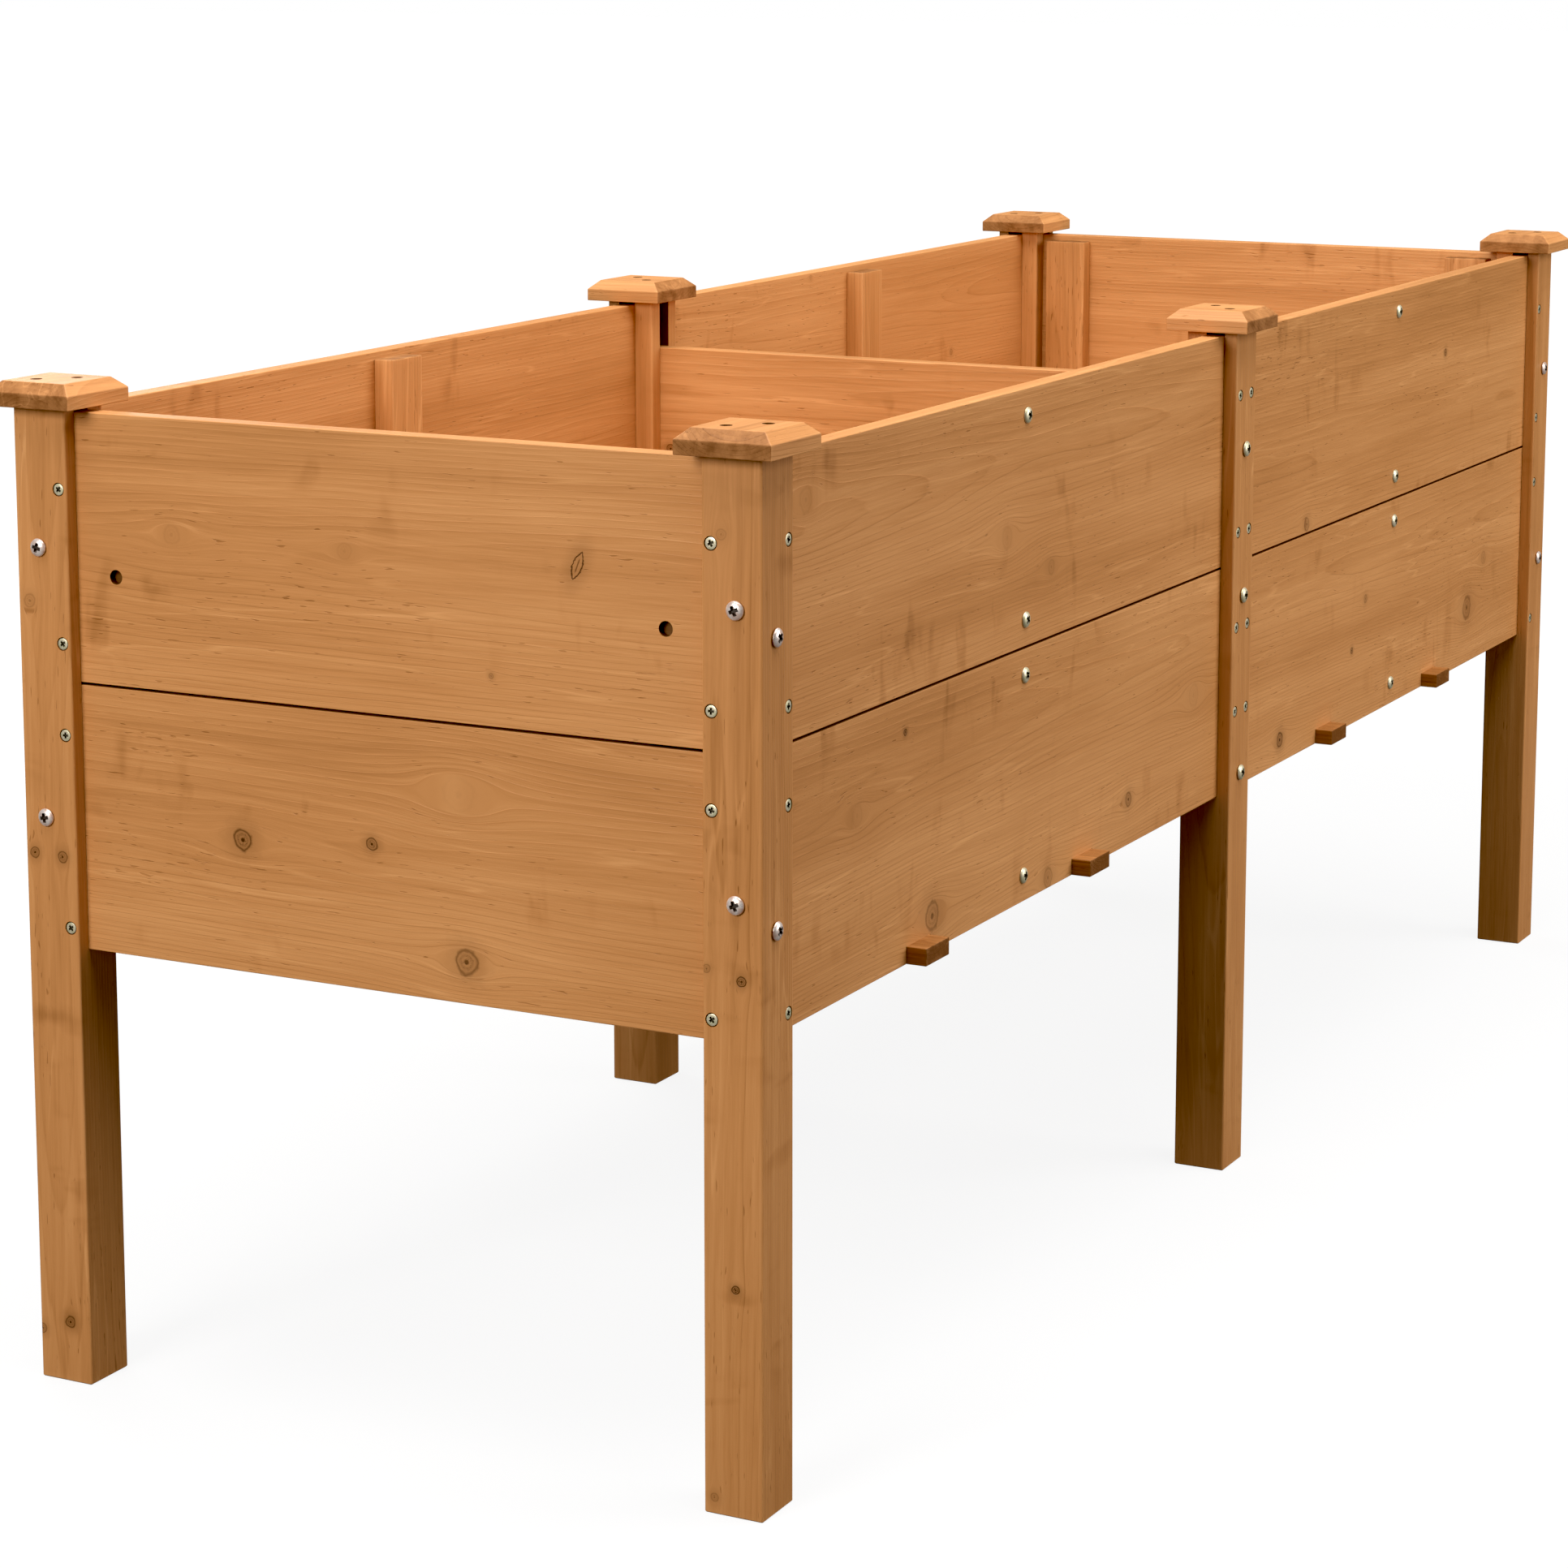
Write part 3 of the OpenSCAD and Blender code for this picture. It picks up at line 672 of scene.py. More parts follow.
def split_group():
    """A sliver of bark in the face: a slanted lens with a thin dark outline and a crack in it."""
    tree, ins, outs = group("Split", [("Grain", "v"), ("Centre", "v"), ("Size", "f")],
                            [("Shade", "f")])
    away = vector_calc(tree, "SUBTRACT", ins["Grain"], ins["Centre"])
    slant = put(tree, "ShaderNodeVectorRotate", {"Vector": away, "Angle": math.radians(-22)},
                rotation_type="Z_AXIS").outputs[0]
    lens = scaled(tree, vector_calc(tree, "DIVIDE", slant, put(
        tree, "ShaderNodeCombineXYZ", {0: ins["Size"], 1: ins["Size"], 2: 1.0}).outputs[0]),
        (2.6, 1.0, 0.0))
    x, y, _ = put(tree, "ShaderNodeSeparateXYZ", {0: lens}).outputs
    x, y = calc(tree, "ABSOLUTE", x), calc(tree, "ABSOLUTE", y)
    ragged = noise(tree, ins["Grain"], (500, 500, 0), 2)
    far = plus(tree, fit(tree, y, y, x), times(tree, ragged, 0.5))
    outline = ramp(tree, calc(tree, "ABSOLUTE", minus(tree, far, 1.15)), 0.04, 0.20, 1, 0)
    crack = times(tree, ramp(tree, x, 0.02, 0.20, 1, 0), ramp(tree, y, 0.30, 0.6, 1, 0))
    away = vector_calc(tree, "LENGTH", scaled(tree, lens, (0.8, 1, 0)))
    halo = ramp(tree, away, 0.5, 2.8, 0.22, 0)
    total = fit(tree, outline, 0.75, times(tree, crack, 0.55))
    tree.links.new(plus(tree, total, halo, clamp=True), outs["Shade"])


def wild_knots_group():
    """Knots strewn here and there, for timbers whose knots have no place of their own."""
    tree, ins, outs = group("Wild knots", [("Grain", "v"), ("Darkness", "f")],
                            [("Grain", "v"), ("Shade", "f")])
    cells = (3.2, 9.0, 0.0)
    spots = put(tree, "ShaderNodeTexVoronoi",
                {"Vector": scaled(tree, ins["Grain"], cells), "Scale": 1.0, "Randomness": 0.8},
                voronoi_dimensions="2D", feature="F1")
    centre = scaled(tree, spots.outputs["Position"], (1 / cells[0], 1 / cells[1], 0))
    luck = put(tree, "ShaderNodeSeparateColor", {0: spots.outputs["Color"]}).outputs
    radius = fit(tree, luck[0], 0.006, 0.002)
    there = times(tree, ramp(tree, luck[1], 0.45, 0.5), ins["Darkness"])
    radius = times(tree, radius, ramp(tree, luck[1], 0.2, 0.5, 0.2, 1.0))
    knot = use(tree, "Knot", Grain=ins["Grain"], Centre=centre, Radius=radius, Darkness=there)
    tree.links.new(knot["Grain"], outs["Grain"])
    tree.links.new(knot["Shade"], outs["Shade"])


def growth_rings_group():
    """Year rings around the pith, as lines on a face and arcs on an end."""
    tree, ins, outs = group("Growth rings", [("Grain", "v"), ("Spacing", "f")],
                            [("Ring", "f"), ("Line", "f")])
    cross = scaled(tree, ins["Grain"], (0, 1, 1))
    sway = noise(tree, ins["Grain"], (1.8, 9, 9), 2)
    ripple = noise(tree, ins["Grain"], (7, 90, 90), 2)
    years = divide(tree, vector_calc(tree, "LENGTH", cross), ins["Spacing"])
    years = plus(tree, years, times(tree, sway, 6.0))
    years = plus(tree, years, times(tree, ripple, 0.55))
    part = calc(tree, "FRACT", years)
    rise = calc(tree, "POWER", part, 2.2)
    fall = ramp(tree, part, 0.93, 1.0, 1.0, 0.0)
    ring = times(tree, rise, fall)
    lot = put(tree, "ShaderNodeTexWhiteNoise", {"W": calc(tree, "FLOOR", years)},
              noise_dimensions="1D").outputs["Value"]
    tree.links.new(times(tree, ring, fit(tree, lot, 0.7, 0.5)), outs["Ring"])
    tree.links.new(times(tree, ramp(tree, part, 0.80, 0.94), times(tree, fall, lot)),
                   outs["Line"])


def fibre_group():
    """Long streaks, fine fibres, pale veins and short dark flecks that run with the grain."""
    tree, ins, outs = group("Fibre", [("Grain", "v")],
                            [("Streak", "f"), ("Fine", "f"), ("Vein", "f"), ("Fleck", "f")])
    tree.links.new(noise(tree, ins["Grain"], (4, 130, 130), 3, 0.62), outs["Streak"])
    tree.links.new(noise(tree, ins["Grain"], (20, 480, 480), 3, 0.65), outs["Fine"])
    patch = noise(tree, ins["Grain"], (5, 16, 16), 1)
    wave = noise(tree, ins["Grain"], (2.2, 42, 42), 2, 0.55)
    line = ramp(tree, calc(tree, "ABSOLUTE", minus(tree, wave, 0.5)), 0, 0.018, 1, 0)
    tree.links.new(times(tree, line, ramp(tree, patch, 0.42, 0.62)), outs["Vein"])
    fleck = noise(tree, ins["Grain"], (70, 560, 560), 1)
    bar = fit(tree, patch, -0.24, 0.835)
    tree.links.new(ramp(tree, minus(tree, fleck, bar), 0.0, 0.06), outs["Fleck"])


def blotch_group():
    """Uneven uptake of the stain: broad clouds, bands with the grain and smudges across it."""
    tree, ins, outs = group("Blotch", [("Grain", "v")], [("Cloud", "f"), ("Smudge", "f")])
    cloud = noise(tree, ins["Grain"], (2.6, 7, 7), 2)
    band = noise(tree, ins["Grain"], (0.9, 24, 24), 1)
    tree.links.new(fit(tree, band, 0.5, times(tree, cloud, 0.5)), outs["Cloud"])
    across = noise(tree, ins["Grain"], (34, 13, 13), 2, 0.55, 0.5)
    rare = noise(tree, ins["Grain"], (7, 12, 12), 1)
    tree.links.new(times(tree, ramp(tree, across, 0.54, 0.76), ramp(tree, rare, 0.50, 0.68)),
                   outs["Smudge"])


def edge_group():
    """Paler edges of a timber, from its distance to its own faces: partly wear, partly a painted
    highlight on the rounded arrises.
    """
    tree, ins, outs = group("Edge wear and sheen", [("Inset", "v"), ("Reach", "v"), ("Width", "f")],
                            [("Edge wear and sheen", "f")])
    gap = vector_calc(tree, "SUBTRACT", ins["Reach"],
                      vector_calc(tree, "ABSOLUTE", ins["Inset"]))
    a, b, c = put(tree, "ShaderNodeSeparateXYZ", {0: gap}).outputs
    second = larger(tree, smaller(tree, a, b), smaller(tree, larger(tree, a, b), c))
    tree.links.new(ramp(tree, divide(tree, second, ins["Width"]), 0.0, 1.0, 1.0, 0.0),
                   outs["Edge wear and sheen"])


def stained_timber_group():
    """The whole figure of a stained softwood timber, as colour, roughness and height."""
    tree, ins, outs = group(
        "Stained timber",
        [("Grain", "v"), ("Inset", "v"), ("Reach", "v"), ("Knot", "f"), ("End grain", "f"),
         ("Hollow", "f"), ("Tone", "f"), ("Level", "f"), ("Spacing", "f"), ("Figure", "f"),
         ("Blotch", "f"), ("Stain", "c"), ("Pale", "c"), ("Deep", "c"), ("Heart", "c")],
        [("Color", "c"), ("Roughness", "f"), ("Height", "f")])
    rings = use(tree, "Growth rings", Grain=ins["Grain"], Spacing=ins["Spacing"])
    fibre = use(tree, "Fibre", Grain=ins["Grain"])
    blotch = use(tree, "Blotch", Grain=ins["Grain"])
    edge = use(tree, "Edge wear and sheen", Inset=ins["Inset"], Reach=ins["Reach"], Width=0.006)

    figure = plus(tree, times(tree, rings["Ring"], -0.08), times(tree, rings["Line"], -0.05),
                  signed(tree, fibre["Streak"], 0.30), signed(tree, fibre["Fine"], 0.20),
                  times(tree, fibre["Vein"], 0.15))
    uptake = plus(tree, signed(tree, blotch["Cloud"], 0.72), times(tree, blotch["Smudge"], -0.24))
    soaked = times(tree, noise(tree, ins["Grain"], (90, 90, 90), 2), -0.62)
    # The last term makes the edges paler: partly wear, partly a painted highlight
    level = plus(tree, ins["Level"], times(tree, ins["End grain"], soaked),
                 times(tree, figure, ins["Figure"]), times(tree, uptake, ins["Blotch"]),
                 times(tree, ins["Tone"], 0.035), times(tree, fibre["Fleck"], -0.24),
                 times(tree, edge["Edge wear and sheen"], 0.05))
    twice = times(tree, level, 2.0)
    wood = blend_colour(tree, twice, ins["Deep"], ins["Stain"])
    wood = blend_colour(tree, minus(tree, twice, 1.0, clamp=True), wood, ins["Pale"])
    # Painted shade in holes, grooves and seams darkens the wood towards the knot colour, next to
    # the knots' own dark and the end grain's own dark
    dark = larger(tree, ins["Knot"], times(tree, ins["Hollow"], 0.85))
    dark = larger(tree, dark, times(tree, ins["End grain"], 0.28))
    tree.links.new(blend_colour(tree, dark, wood, ins["Heart"]), outs["Color"])
    rough = plus(tree, 0.46, times(tree, rings["Ring"], -0.06), signed(tree, fibre["Fine"], 0.20),
                 times(tree, ins["End grain"], 0.25), signed(tree, blotch["Cloud"], 0.20))
    tree.links.new(rough, outs["Roughness"])
    height = plus(tree, times(tree, rings["Ring"], 0.5), signed(tree, fibre["Fine"], 0.7),
                  signed(tree, fibre["Streak"], 0.8), times(tree, fibre["Fleck"], -0.8),
                  times(tree, ins["Knot"], -0.8))
    tree.links.new(height, outs["Height"])


# Colour of the painted shade in a screw's cross recess
RECESS_SHADE = (0.03, 0.022, 0.015, 1)


def plate_group():
    """Thin plating on a screw: two tints that drift into each other, fine wear, and painted shade
    in the driver's recess.
    """
    tree, ins, outs = group("Plate", [("Place", "v"), ("Recess", "f"), ("Colour", "c"),
                                      ("Tint", "c")],
                            [("Color", "c"), ("Wear", "f"), ("Height", "f")])
    drift = noise(tree, ins["Place"], (260, 260, 260), 2)
    grit = noise(tree, ins["Place"], (2400, 2400, 2400), 2)
    mixed = blend_colour(tree, ramp(tree, drift, 0.40, 0.62), ins["Colour"], ins["Tint"])
    # painted shade in the recess
    mixed = blend_colour(tree, times(tree, ins["Recess"], 0.9), mixed, RECESS_SHADE)
    tree.links.new(mixed, outs["Color"])
    tree.links.new(fit(tree, grit, 0.6, times(tree, drift, 0.4)), outs["Wear"])
    tree.links.new(grit, outs["Height"])


# ---- Materials ----


def new_material(name):
    material = bpy.data.materials.new(name)
    material.use_nodes = True
    tree = material.node_tree
    tree.nodes.clear()
    out = put(tree, "ShaderNodeOutputMaterial")
    shader = put(tree, "ShaderNodeBsdfPrincipled")
    tree.links.new(shader.outputs[0], out.inputs[0])
    return material, tree, shader


def colour(value):
    return (*value, 1.0)


# How strongly each kind of timber shows its grain, its blotches and its strewn knots, and how
# pale it is (0 the deepest stain, 1 the palest)
CHARACTER = {
    "post_wood": (1.15, 0.9, 0.55, 0.525), "cap_wood": (1.2, 1.0, 0.2, 0.53),
    "board_wood": (0.9, 1.0, 0.45, 0.555), "inner_wood": (1.3, 1.3, 0.75, 0.54),
    # The bearers' deep level is painted shade, for the bearers lying under the box out of the
    # light
    "bearer_wood": (1.3, 1.0, 0.6, 0.30),
}


def timber_material(node, slot):
    """The stain on a timber. Timbers without knots of their own share one for their kind."""
    own = KNOTS.get(node, ())
    name = f"{node} stain" if own else f"{slot} stain"
    if name in bpy.data.materials:
        return bpy.data.materials[name]
    finish = bpy.context.scene.planter_finish
    figure, blotch, wild, level = CHARACTER[slot]
    material, tree, shader = new_material(name)
    grain = attribute(tree, "grain", "Vector")
    shade = None
    if own:
        place, low = log_place(node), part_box(node)[0]
        along, depth = GRAIN[node]
        axes = (Y, Z) if node in POSTS else (along, 3 - along - depth)

        def on_face(first, second):
            spot = low.copy()
            spot[axes[0]], spot[axes[1]] = first, second
            return place(spot)

        for first, second, radius, darkness in own:
            centre = on_face(first, second)
            knot = use(tree, "Knot", Grain=grain, Centre=centre, Radius=radius, Darkness=darkness)
            grain = knot["Grain"]
            shade = larger(tree, shade, knot["Shade"]) if shade else knot["Shade"]
        if node in SPLITS:
            first, second, size = SPLITS[node]
            split = use(tree, "Split", Grain=grain, Centre=on_face(first, second), Size=size)
            shade = larger(tree, shade, split["Shade"])
    else:
        knots = use(tree, "Wild knots", Grain=grain, Darkness=wild)
        grain, shade = knots["Grain"], knots["Shade"]
    wood = use(
        tree, "Stained timber", Grain=grain, Knot=shade, Inset=attribute(tree, "inset", "Vector"),
        Reach=attribute(tree, "reach", "Vector"), End_grain=attribute(tree, "end_grain"),
        Hollow=attribute(tree, "hollow_shade"), Tone=attribute(tree, "tone"), Level=level,
        Spacing=finish.ring_spacing, Figure=figure, Blotch=blotch, Stain=colour(finish.stain),
        Pale=colour(finish.stain_pale), Deep=colour(finish.stain_deep),
        Heart=colour(finish.knot_heart))
    bump = put(tree, "ShaderNodeBump", {"Strength": 0.6, "Distance": finish.grain_depth,
                                        "Height": wood["Height"]})
    tree.links.new(wood["Color"], shader.inputs["Base Color"])
    tree.links.new(wood["Roughness"], shader.inputs["Roughness"])
    tree.links.new(bump.outputs[0], shader.inputs["Normal"])
    shader.inputs["Specular IOR Level"].default_value = 0.2
    return material


def screw_material(slot):
    name = f"{slot} plating"
    if name in bpy.data.materials:
        return bpy.data.materials[name]
    finish = bpy.context.scene.planter_finish
    main, second, smooth, rough, metal = {
        "zinc_screw": (finish.zinc, finish.zinc_tint, 0.30, 0.52, 0.6),
        "nickel_screw": (finish.nickel, finish.nickel_tint, 0.24, 0.42, 0.55),
        "stained_screw": (finish.stained_steel, finish.stained_steel_dark, 0.35, 0.60, 0.9),
    }[slot]
    material, tree, shader = new_material(name)
    place = put(tree, "ShaderNodeTexCoord").outputs["Object"]
    plate = use(tree, "Plate", Place=place, Recess=attribute(tree, "recess"),
                Colour=colour(main), Tint=colour(second))
    bump = put(tree, "ShaderNodeBump", {"Strength": 0.25, "Distance": 0.0001,
                                        "Height": plate["Height"]})
    tree.links.new(plate["Color"], shader.inputs["Base Color"])
    tree.links.new(ramp(tree, plate["Wear"], 0.3, 0.7, smooth, rough, False),
                   shader.inputs["Roughness"])
    tree.links.new(bump.outputs[0], shader.inputs["Normal"])
    shader.inputs["Metallic"].default_value = metal
    return material


# ---- Timbers ----


def groove_cutters(post):
    """Cutters for the grooves that a post's boards stand in, open at the top."""
    play = bpy.context.scene.planter_sizes.groove_play
    low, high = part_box(post)
    cutters = []
    for board in LONG_BOARDS + END_BOARDS + DIVIDER_BOARDS:
        start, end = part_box(board)
        meets = all(start[a] < high[a] and low[a] < end[a] for a in range(3))
        if "_lower_" in board and meets:
            room = Vector((play, play, 0))
            room[GRAIN[board][0]] += play
            end.z = high.z + PAST
            cutters.append(block("groove", start - room, end + room))
    return cutters


def make_post(node):
    sizes = bpy.context.scene.planter_sizes
    low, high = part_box(node)
    post = block(node + "_timber", low, high)
    ease(post, sizes.post_arris, lambda e: lies_along(e, Z), 4)
    ease(post, FOOT_ARRIS, lambda e: not lies_along(e, Z) and e.verts[0].co.z < low.z + WELD, 1)
    carve(post, groove_cutters(node) + screw_seats(node, sizes.head_play))
    return finish_timber(post, node, "post_wood")


def make_cap(node):
    sizes = bpy.context.scene.planter_sizes
    low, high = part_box(node)
    centre, wide = (low + high) / 2, high.x - low.x
    top = Vector((high.x, high.y, low.z + sizes.cap_side))
    cap = block(node + "_timber", low, top)
    grow(cap, Z, top.z, (0, 0, high.z - top.z), (wide - 2 * sizes.cap_bevel) / wide, centre)
    ease(cap, CAP_ARRIS, lambda e: True, 2)
    drills = [rod("hole", sizes.cap_hole / 2, head, Vector((head.x, head.y, high.z + OVER)))
              for head, *_ in SCREWS["cap_screws"] if inside(head, node)]
    carve(cap, drills)
    return finish_timber(cap, node, "cap_wood")


def make_board(node, slot="board_wood"):
    sizes = bpy.context.scene.planter_sizes
    low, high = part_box(node)
    board = block(node + "_timber", low, high)
    ease(board, sizes.board_arris, lambda e: True)
    cutters = screw_seats(node, sizes.head_play)
    if node in LONG_BOARDS:
        for bearer in BEARERS:
            start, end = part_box(bearer)
            if start.z < high.z and low.z < end.z and low.x < start.x and end.x < high.x:
                start.x -= sizes.notch_play
                end.x += sizes.notch_play
                start.y, end.y, start.z = low.y - PAST, high.y + PAST, low.z - PAST
                cutters.append(block("notch", start, end))
    if node in END_BOARDS:
        for head, inward, *_ in SCREWS["cleat_screws"]:
            if inside(head, node) and inside(head - inward * SUNK_NEAR, node):
                cutters.append(rod("hole", sizes.sunk_hole / 2, head, head - inward * SUNK_OUT))
    carve(board, cutters)
    return finish_timber(board, node, slot)


def make_strip(node, slot):
    """A plain sawn strip: batten, cleat, slat or bearer."""
    sizes = bpy.context.scene.planter_sizes
    strip = block(node + "_timber", *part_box(node))
    ease(strip, sizes.slat_arris, lambda e: True, 2)
    carve(strip, screw_seats(node, sizes.head_play))
    return finish_timber(strip, node, slot)


# ---- Screws ----

# Shares of a screw head's radius
DOME_SHANK, FLAT_SHANK = 0.40, 0.47
HEAD_SIDE, HEAD_EDGE, HEAD_TOP = 0.09, 0.03, 0.93  # a flat head's side, its chamfer and its top
FLAT_RECESS, DOME_RECESS = 0.30, 0.75  # a recess's depth; on a dome, as a share of its rise
POINT = 0.12  # width of the point's tip, as a share of the shank
DOME_STEPS = ((0.25, 0.985), (0.50, 0.90), (0.72, 0.74), (0.90, 0.48), (1.0, 0.20))
RECESS_TAPER = 0.55  # a recess's floor, as a share of its mouth
RECESS_SPREAD = 0.66  # how far out a face may lie to count as in the recess
RECESS_FROM, RECESS_TO = 0.35, 1.1  # from and to how deep it may lie, as a share of the depth
RECESS_OVER = 0.0005  # how far the recess's cutter stands out of the head
STEP = 0.00001  # the rise of a dome's rim, in metres
SMOOTH_TO = 40  # the sharpest turn between faces that are shaded as one, in degrees


def cross_cutter(length, width, depth, top):
    """A cross that tapers as it goes down, to cut the driver's recess."""
    low, high = Vector((-width / 2, -width / 2, top - depth)), Vector((width / 2, width / 2, top))
    cross = block("recess", low, high)
    for axis in (X, Y):
        for way in (-1, 1):
            level = way * width / 2
            move = Vector((0, 0, 0))
            move[axis] = way * (length - width) / 2
            pick(cross, faces=lambda f: abs(f.normal[axis]) > 0.9
                 and all(abs(v.co[axis] - level) < 1e-7 for v in f.verts)
                 and all(abs(v.co[1 - axis]) < width for v in f.verts))
            bpy.ops.mesh.extrude_region_move(TRANSFORM_OT_translate={"value": move})
            done()
    pick(cross, faces=lambda f: f.normal.z < -0.9)
    bpy.ops.transform.resize(value=(RECESS_TAPER, RECESS_TAPER, 1),
                             center_override=(0, 0, top))
    done()
    return cross


def make_screw(name, radius, length, domed):
    """One screw with its head's top at the origin and its point down along Z."""
    sizes = bpy.context.scene.planter_sizes
    shank = radius * (DOME_SHANK if domed else FLAT_SHANK)
    rise = DOME_RISE * radius if domed else 0.0
    cone = 0.0 if domed else radius - shank
    neck = -rise if domed else -cone - radius * (HEAD_SIDE + HEAD_EDGE)
    screw = rod(name, shank, (0, 0, -length + shank * 2), (0, 0, neck), sizes.screw_sides)
    grow(screw, Z, -length + shank * 2, (0, 0, -shank * 2), POINT)
    if domed:
        grow(screw, Z, neck, (0, 0, STEP), radius / shank)
        level, before = neck + STEP, 1.0
        for up, share in DOME_STEPS:
            target = neck + rise * up
            grow(screw, Z, level, (0, 0, target - level), share / before)
            level, before = target, share
    else:
        grow(screw, Z, neck, (0, 0, cone), radius / shank)
        side = radius * HEAD_SIDE
        grow(screw, Z, neck + cone, (0, 0, side))
        grow(screw, Z, neck + cone + side, (0, 0, radius * HEAD_EDGE), HEAD_TOP)
    turn_outwards(screw)
    top = max(v.co.z for v in screw.data.vertices)
    depth = rise * DOME_RECESS if domed else radius * FLAT_RECESS
    carve(screw, [cross_cutter(2 * radius * sizes.recess_length, 2 * radius * sizes.recess_width,
                               depth + RECESS_OVER, top + RECESS_OVER)])
    cut = [0.0] * len(screw.data.loops)  # 1 in the recess, which gets painted shade
    for face in screw.data.polygons:
        down = (top - face.center.z) / depth
        if face.center.xy.length < RECESS_SPREAD * radius and RECESS_FROM < down < RECESS_TO:
            for corner in face.loop_indices:
                cut[corner] = 1.0
    write_attribute(screw.data, "recess", "FLOAT", "CORNER", "value", cut)
    work_on(screw)
    bpy.ops.object.shade_smooth_by_angle(angle=math.radians(SMOOTH_TO))
    return screw


def make_screws(node, slot, domed, sink=0.0):
    """Every screw of one kind, turned as its driver left it, joined into one piece."""
    places = SCREWS[node]
    draw = random.Random(node)
    model = make_screw(node + "_model", places[0][2], places[0][3], domed)
    copies = []
    for head, inward, _, _ in places:
        copy = bpy.data.objects.new(node + "_copy", model.data.copy())
        bpy.context.scene.collection.objects.link(copy)
        turn = (-inward).to_track_quat("Z", "Y").to_matrix().to_4x4()
        spin = Matrix.Rotation(draw.uniform(0, math.tau), 4, "Z")
        copy.data.transform(Matrix.Translation(head + inward * sink) @ turn @ spin)
        copies.append(copy)
    bpy.data.objects.remove(model, do_unlink=True)
    screws = join(copies, node + "_plated")
    screws.data.materials.clear()
    screws.data.materials.append(screw_material(slot))
    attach(screws, "root")
    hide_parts(node)
    return screws


SCREWS = {node: screw_places(node) for node in ALL_SCREWS}


# ---- Operators ----


class PLANTER_OT_finishes(bpy.types.Operator):
    """Builds the shader groups that the wood and the plated steel share"""
    bl_idname = "planter.finishes"
    bl_label = "Finishes"

    def execute(self, context):
        for build in (knot_group, split_group, wild_knots_group, growth_rings_group,
                      fibre_group, blotch_group, edge_group, stained_timber_group, plate_group):
            build()
        return {"FINISHED"}


class PLANTER_OT_posts(bpy.types.Operator):
    """Six square posts with eased edges and grooves for the boards"""
    bl_idname = "planter.posts"
    bl_label = "Posts"

    def execute(self, context):
        for node in POSTS:
            make_post(node)
        return {"FINISHED"}


class PLANTER_OT_caps(bpy.types.Operator):
    """Bevelled caps on the posts, with the holes over their screws"""
    bl_idname = "planter.caps"
    bl_label = "Caps"

    def execute(self, context):
        for node in CAPS:
            make_cap(node)
        return {"FINISHED"}


class PLANTER_OT_long_boards(bpy.types.Operator):
    """Front and back boards, notched below for the bearers"""
    bl_idname = "planter.long_boards"
    bl_label = "Long boards"

    def execute(self, context):
        for node in LONG_BOARDS:
            make_board(node)
        return {"FINISHED"}


class PLANTER_OT_end_boards(bpy.types.Operator):
    """Boards of the two short ends, with their sunk screw holes"""
    bl_idname = "planter.end_boards"
    bl_label = "End boards"

    def execute(self, context):
        for node in END_BOARDS:
            make_board(node)
        return {"FINISHED"}


class PLANTER_OT_divider(bpy.types.Operator):
    """The boards across the middle of the box"""
    bl_idname = "planter.divider"
    bl_label = "Divider"

    def execute(self, context):
        for node in DIVIDER_BOARDS:
            make_board(node, "inner_wood")
        return {"FINISHED"}


class PLANTER_OT_battens(bpy.types.Operator):
    """Battens and cleats that hold the wall boards together inside"""
    bl_idname = "planter.battens"
    bl_label = "Battens and cleats"

    def execute(self, context):
        for node in BATTENS + CLEATS:
            make_strip(node, "inner_wood")
        return {"FINISHED"}


class PLANTER_OT_floor(bpy.types.Operator):
    """Floor slats and the bearers under them"""
    bl_idname = "planter.floor"
    bl_label = "Slats and bearers"

    def execute(self, context):
        for node in SLATS:
            make_strip(node, "inner_wood")
        for node in BEARERS:
            make_strip(node, "bearer_wood")
        return {"FINISHED"}


class PLANTER_OT_flat_screws(bpy.types.Operator):
    """Countersunk screws with a cross recess"""
    bl_idname = "planter.flat_screws"
    bl_label = "Countersunk screws"

    def execute(self, context):
        for node in FLAT_SCREWS:
            slot = "stained_screw" if node == "cap_screws" else "zinc_screw"
            make_screws(node, slot, False, SUNK)
        return {"FINISHED"}


class PLANTER_OT_dome_screws(bpy.types.Operator):
    """Dome-head screws, zinc on the battens and bright nickel on the corner posts"""
    bl_idname = "planter.dome_screws"
    bl_label = "Dome-head screws"

    def execute(self, context):
        for node in ZINC_DOMES:
            make_screws(node, "zinc_screw", True)
        for node in NICKEL_DOMES:
            make_screws(node, "nickel_screw", True)
        return {"FINISHED"}


# The studio's soft square lamps: name, place, what they face, side in metres, power in watts
LAMPS = (
    ("top_light", (-0.4, -0.2, 3.2), (0, 0, 0.5), 3.0, 152),
    ("end_light", (-3.6, 0.40, 1.75), (-0.8, 0, 0.5), 1.3, 78),
    ("side_light", (1.1, -3.2, 1.7), (0.3, 0, 0.5), 2.4, 85),
    ("back_light", (1.6, 3.2, 1.9), (0.2, 0, 0.5), 2.4, 48),
)
LAMP_COLOUR = (1.0, 0.985, 0.97)


def soft_light(name, place, aim, size, power):
    data = bpy.data.lights.new(name, "AREA")
    data.shape, data.size, data.energy, data.color = "SQUARE", size, power, LAMP_COLOUR
    lamp = bpy.data.objects.new(name, data)
    bpy.context.scene.collection.objects.link(lamp)
    lamp.location = place
    lamp.rotation_euler = (Vector(aim) - Vector(place)).to_track_quat("-Z", "Y").to_euler()
    lamp.visible_camera = False


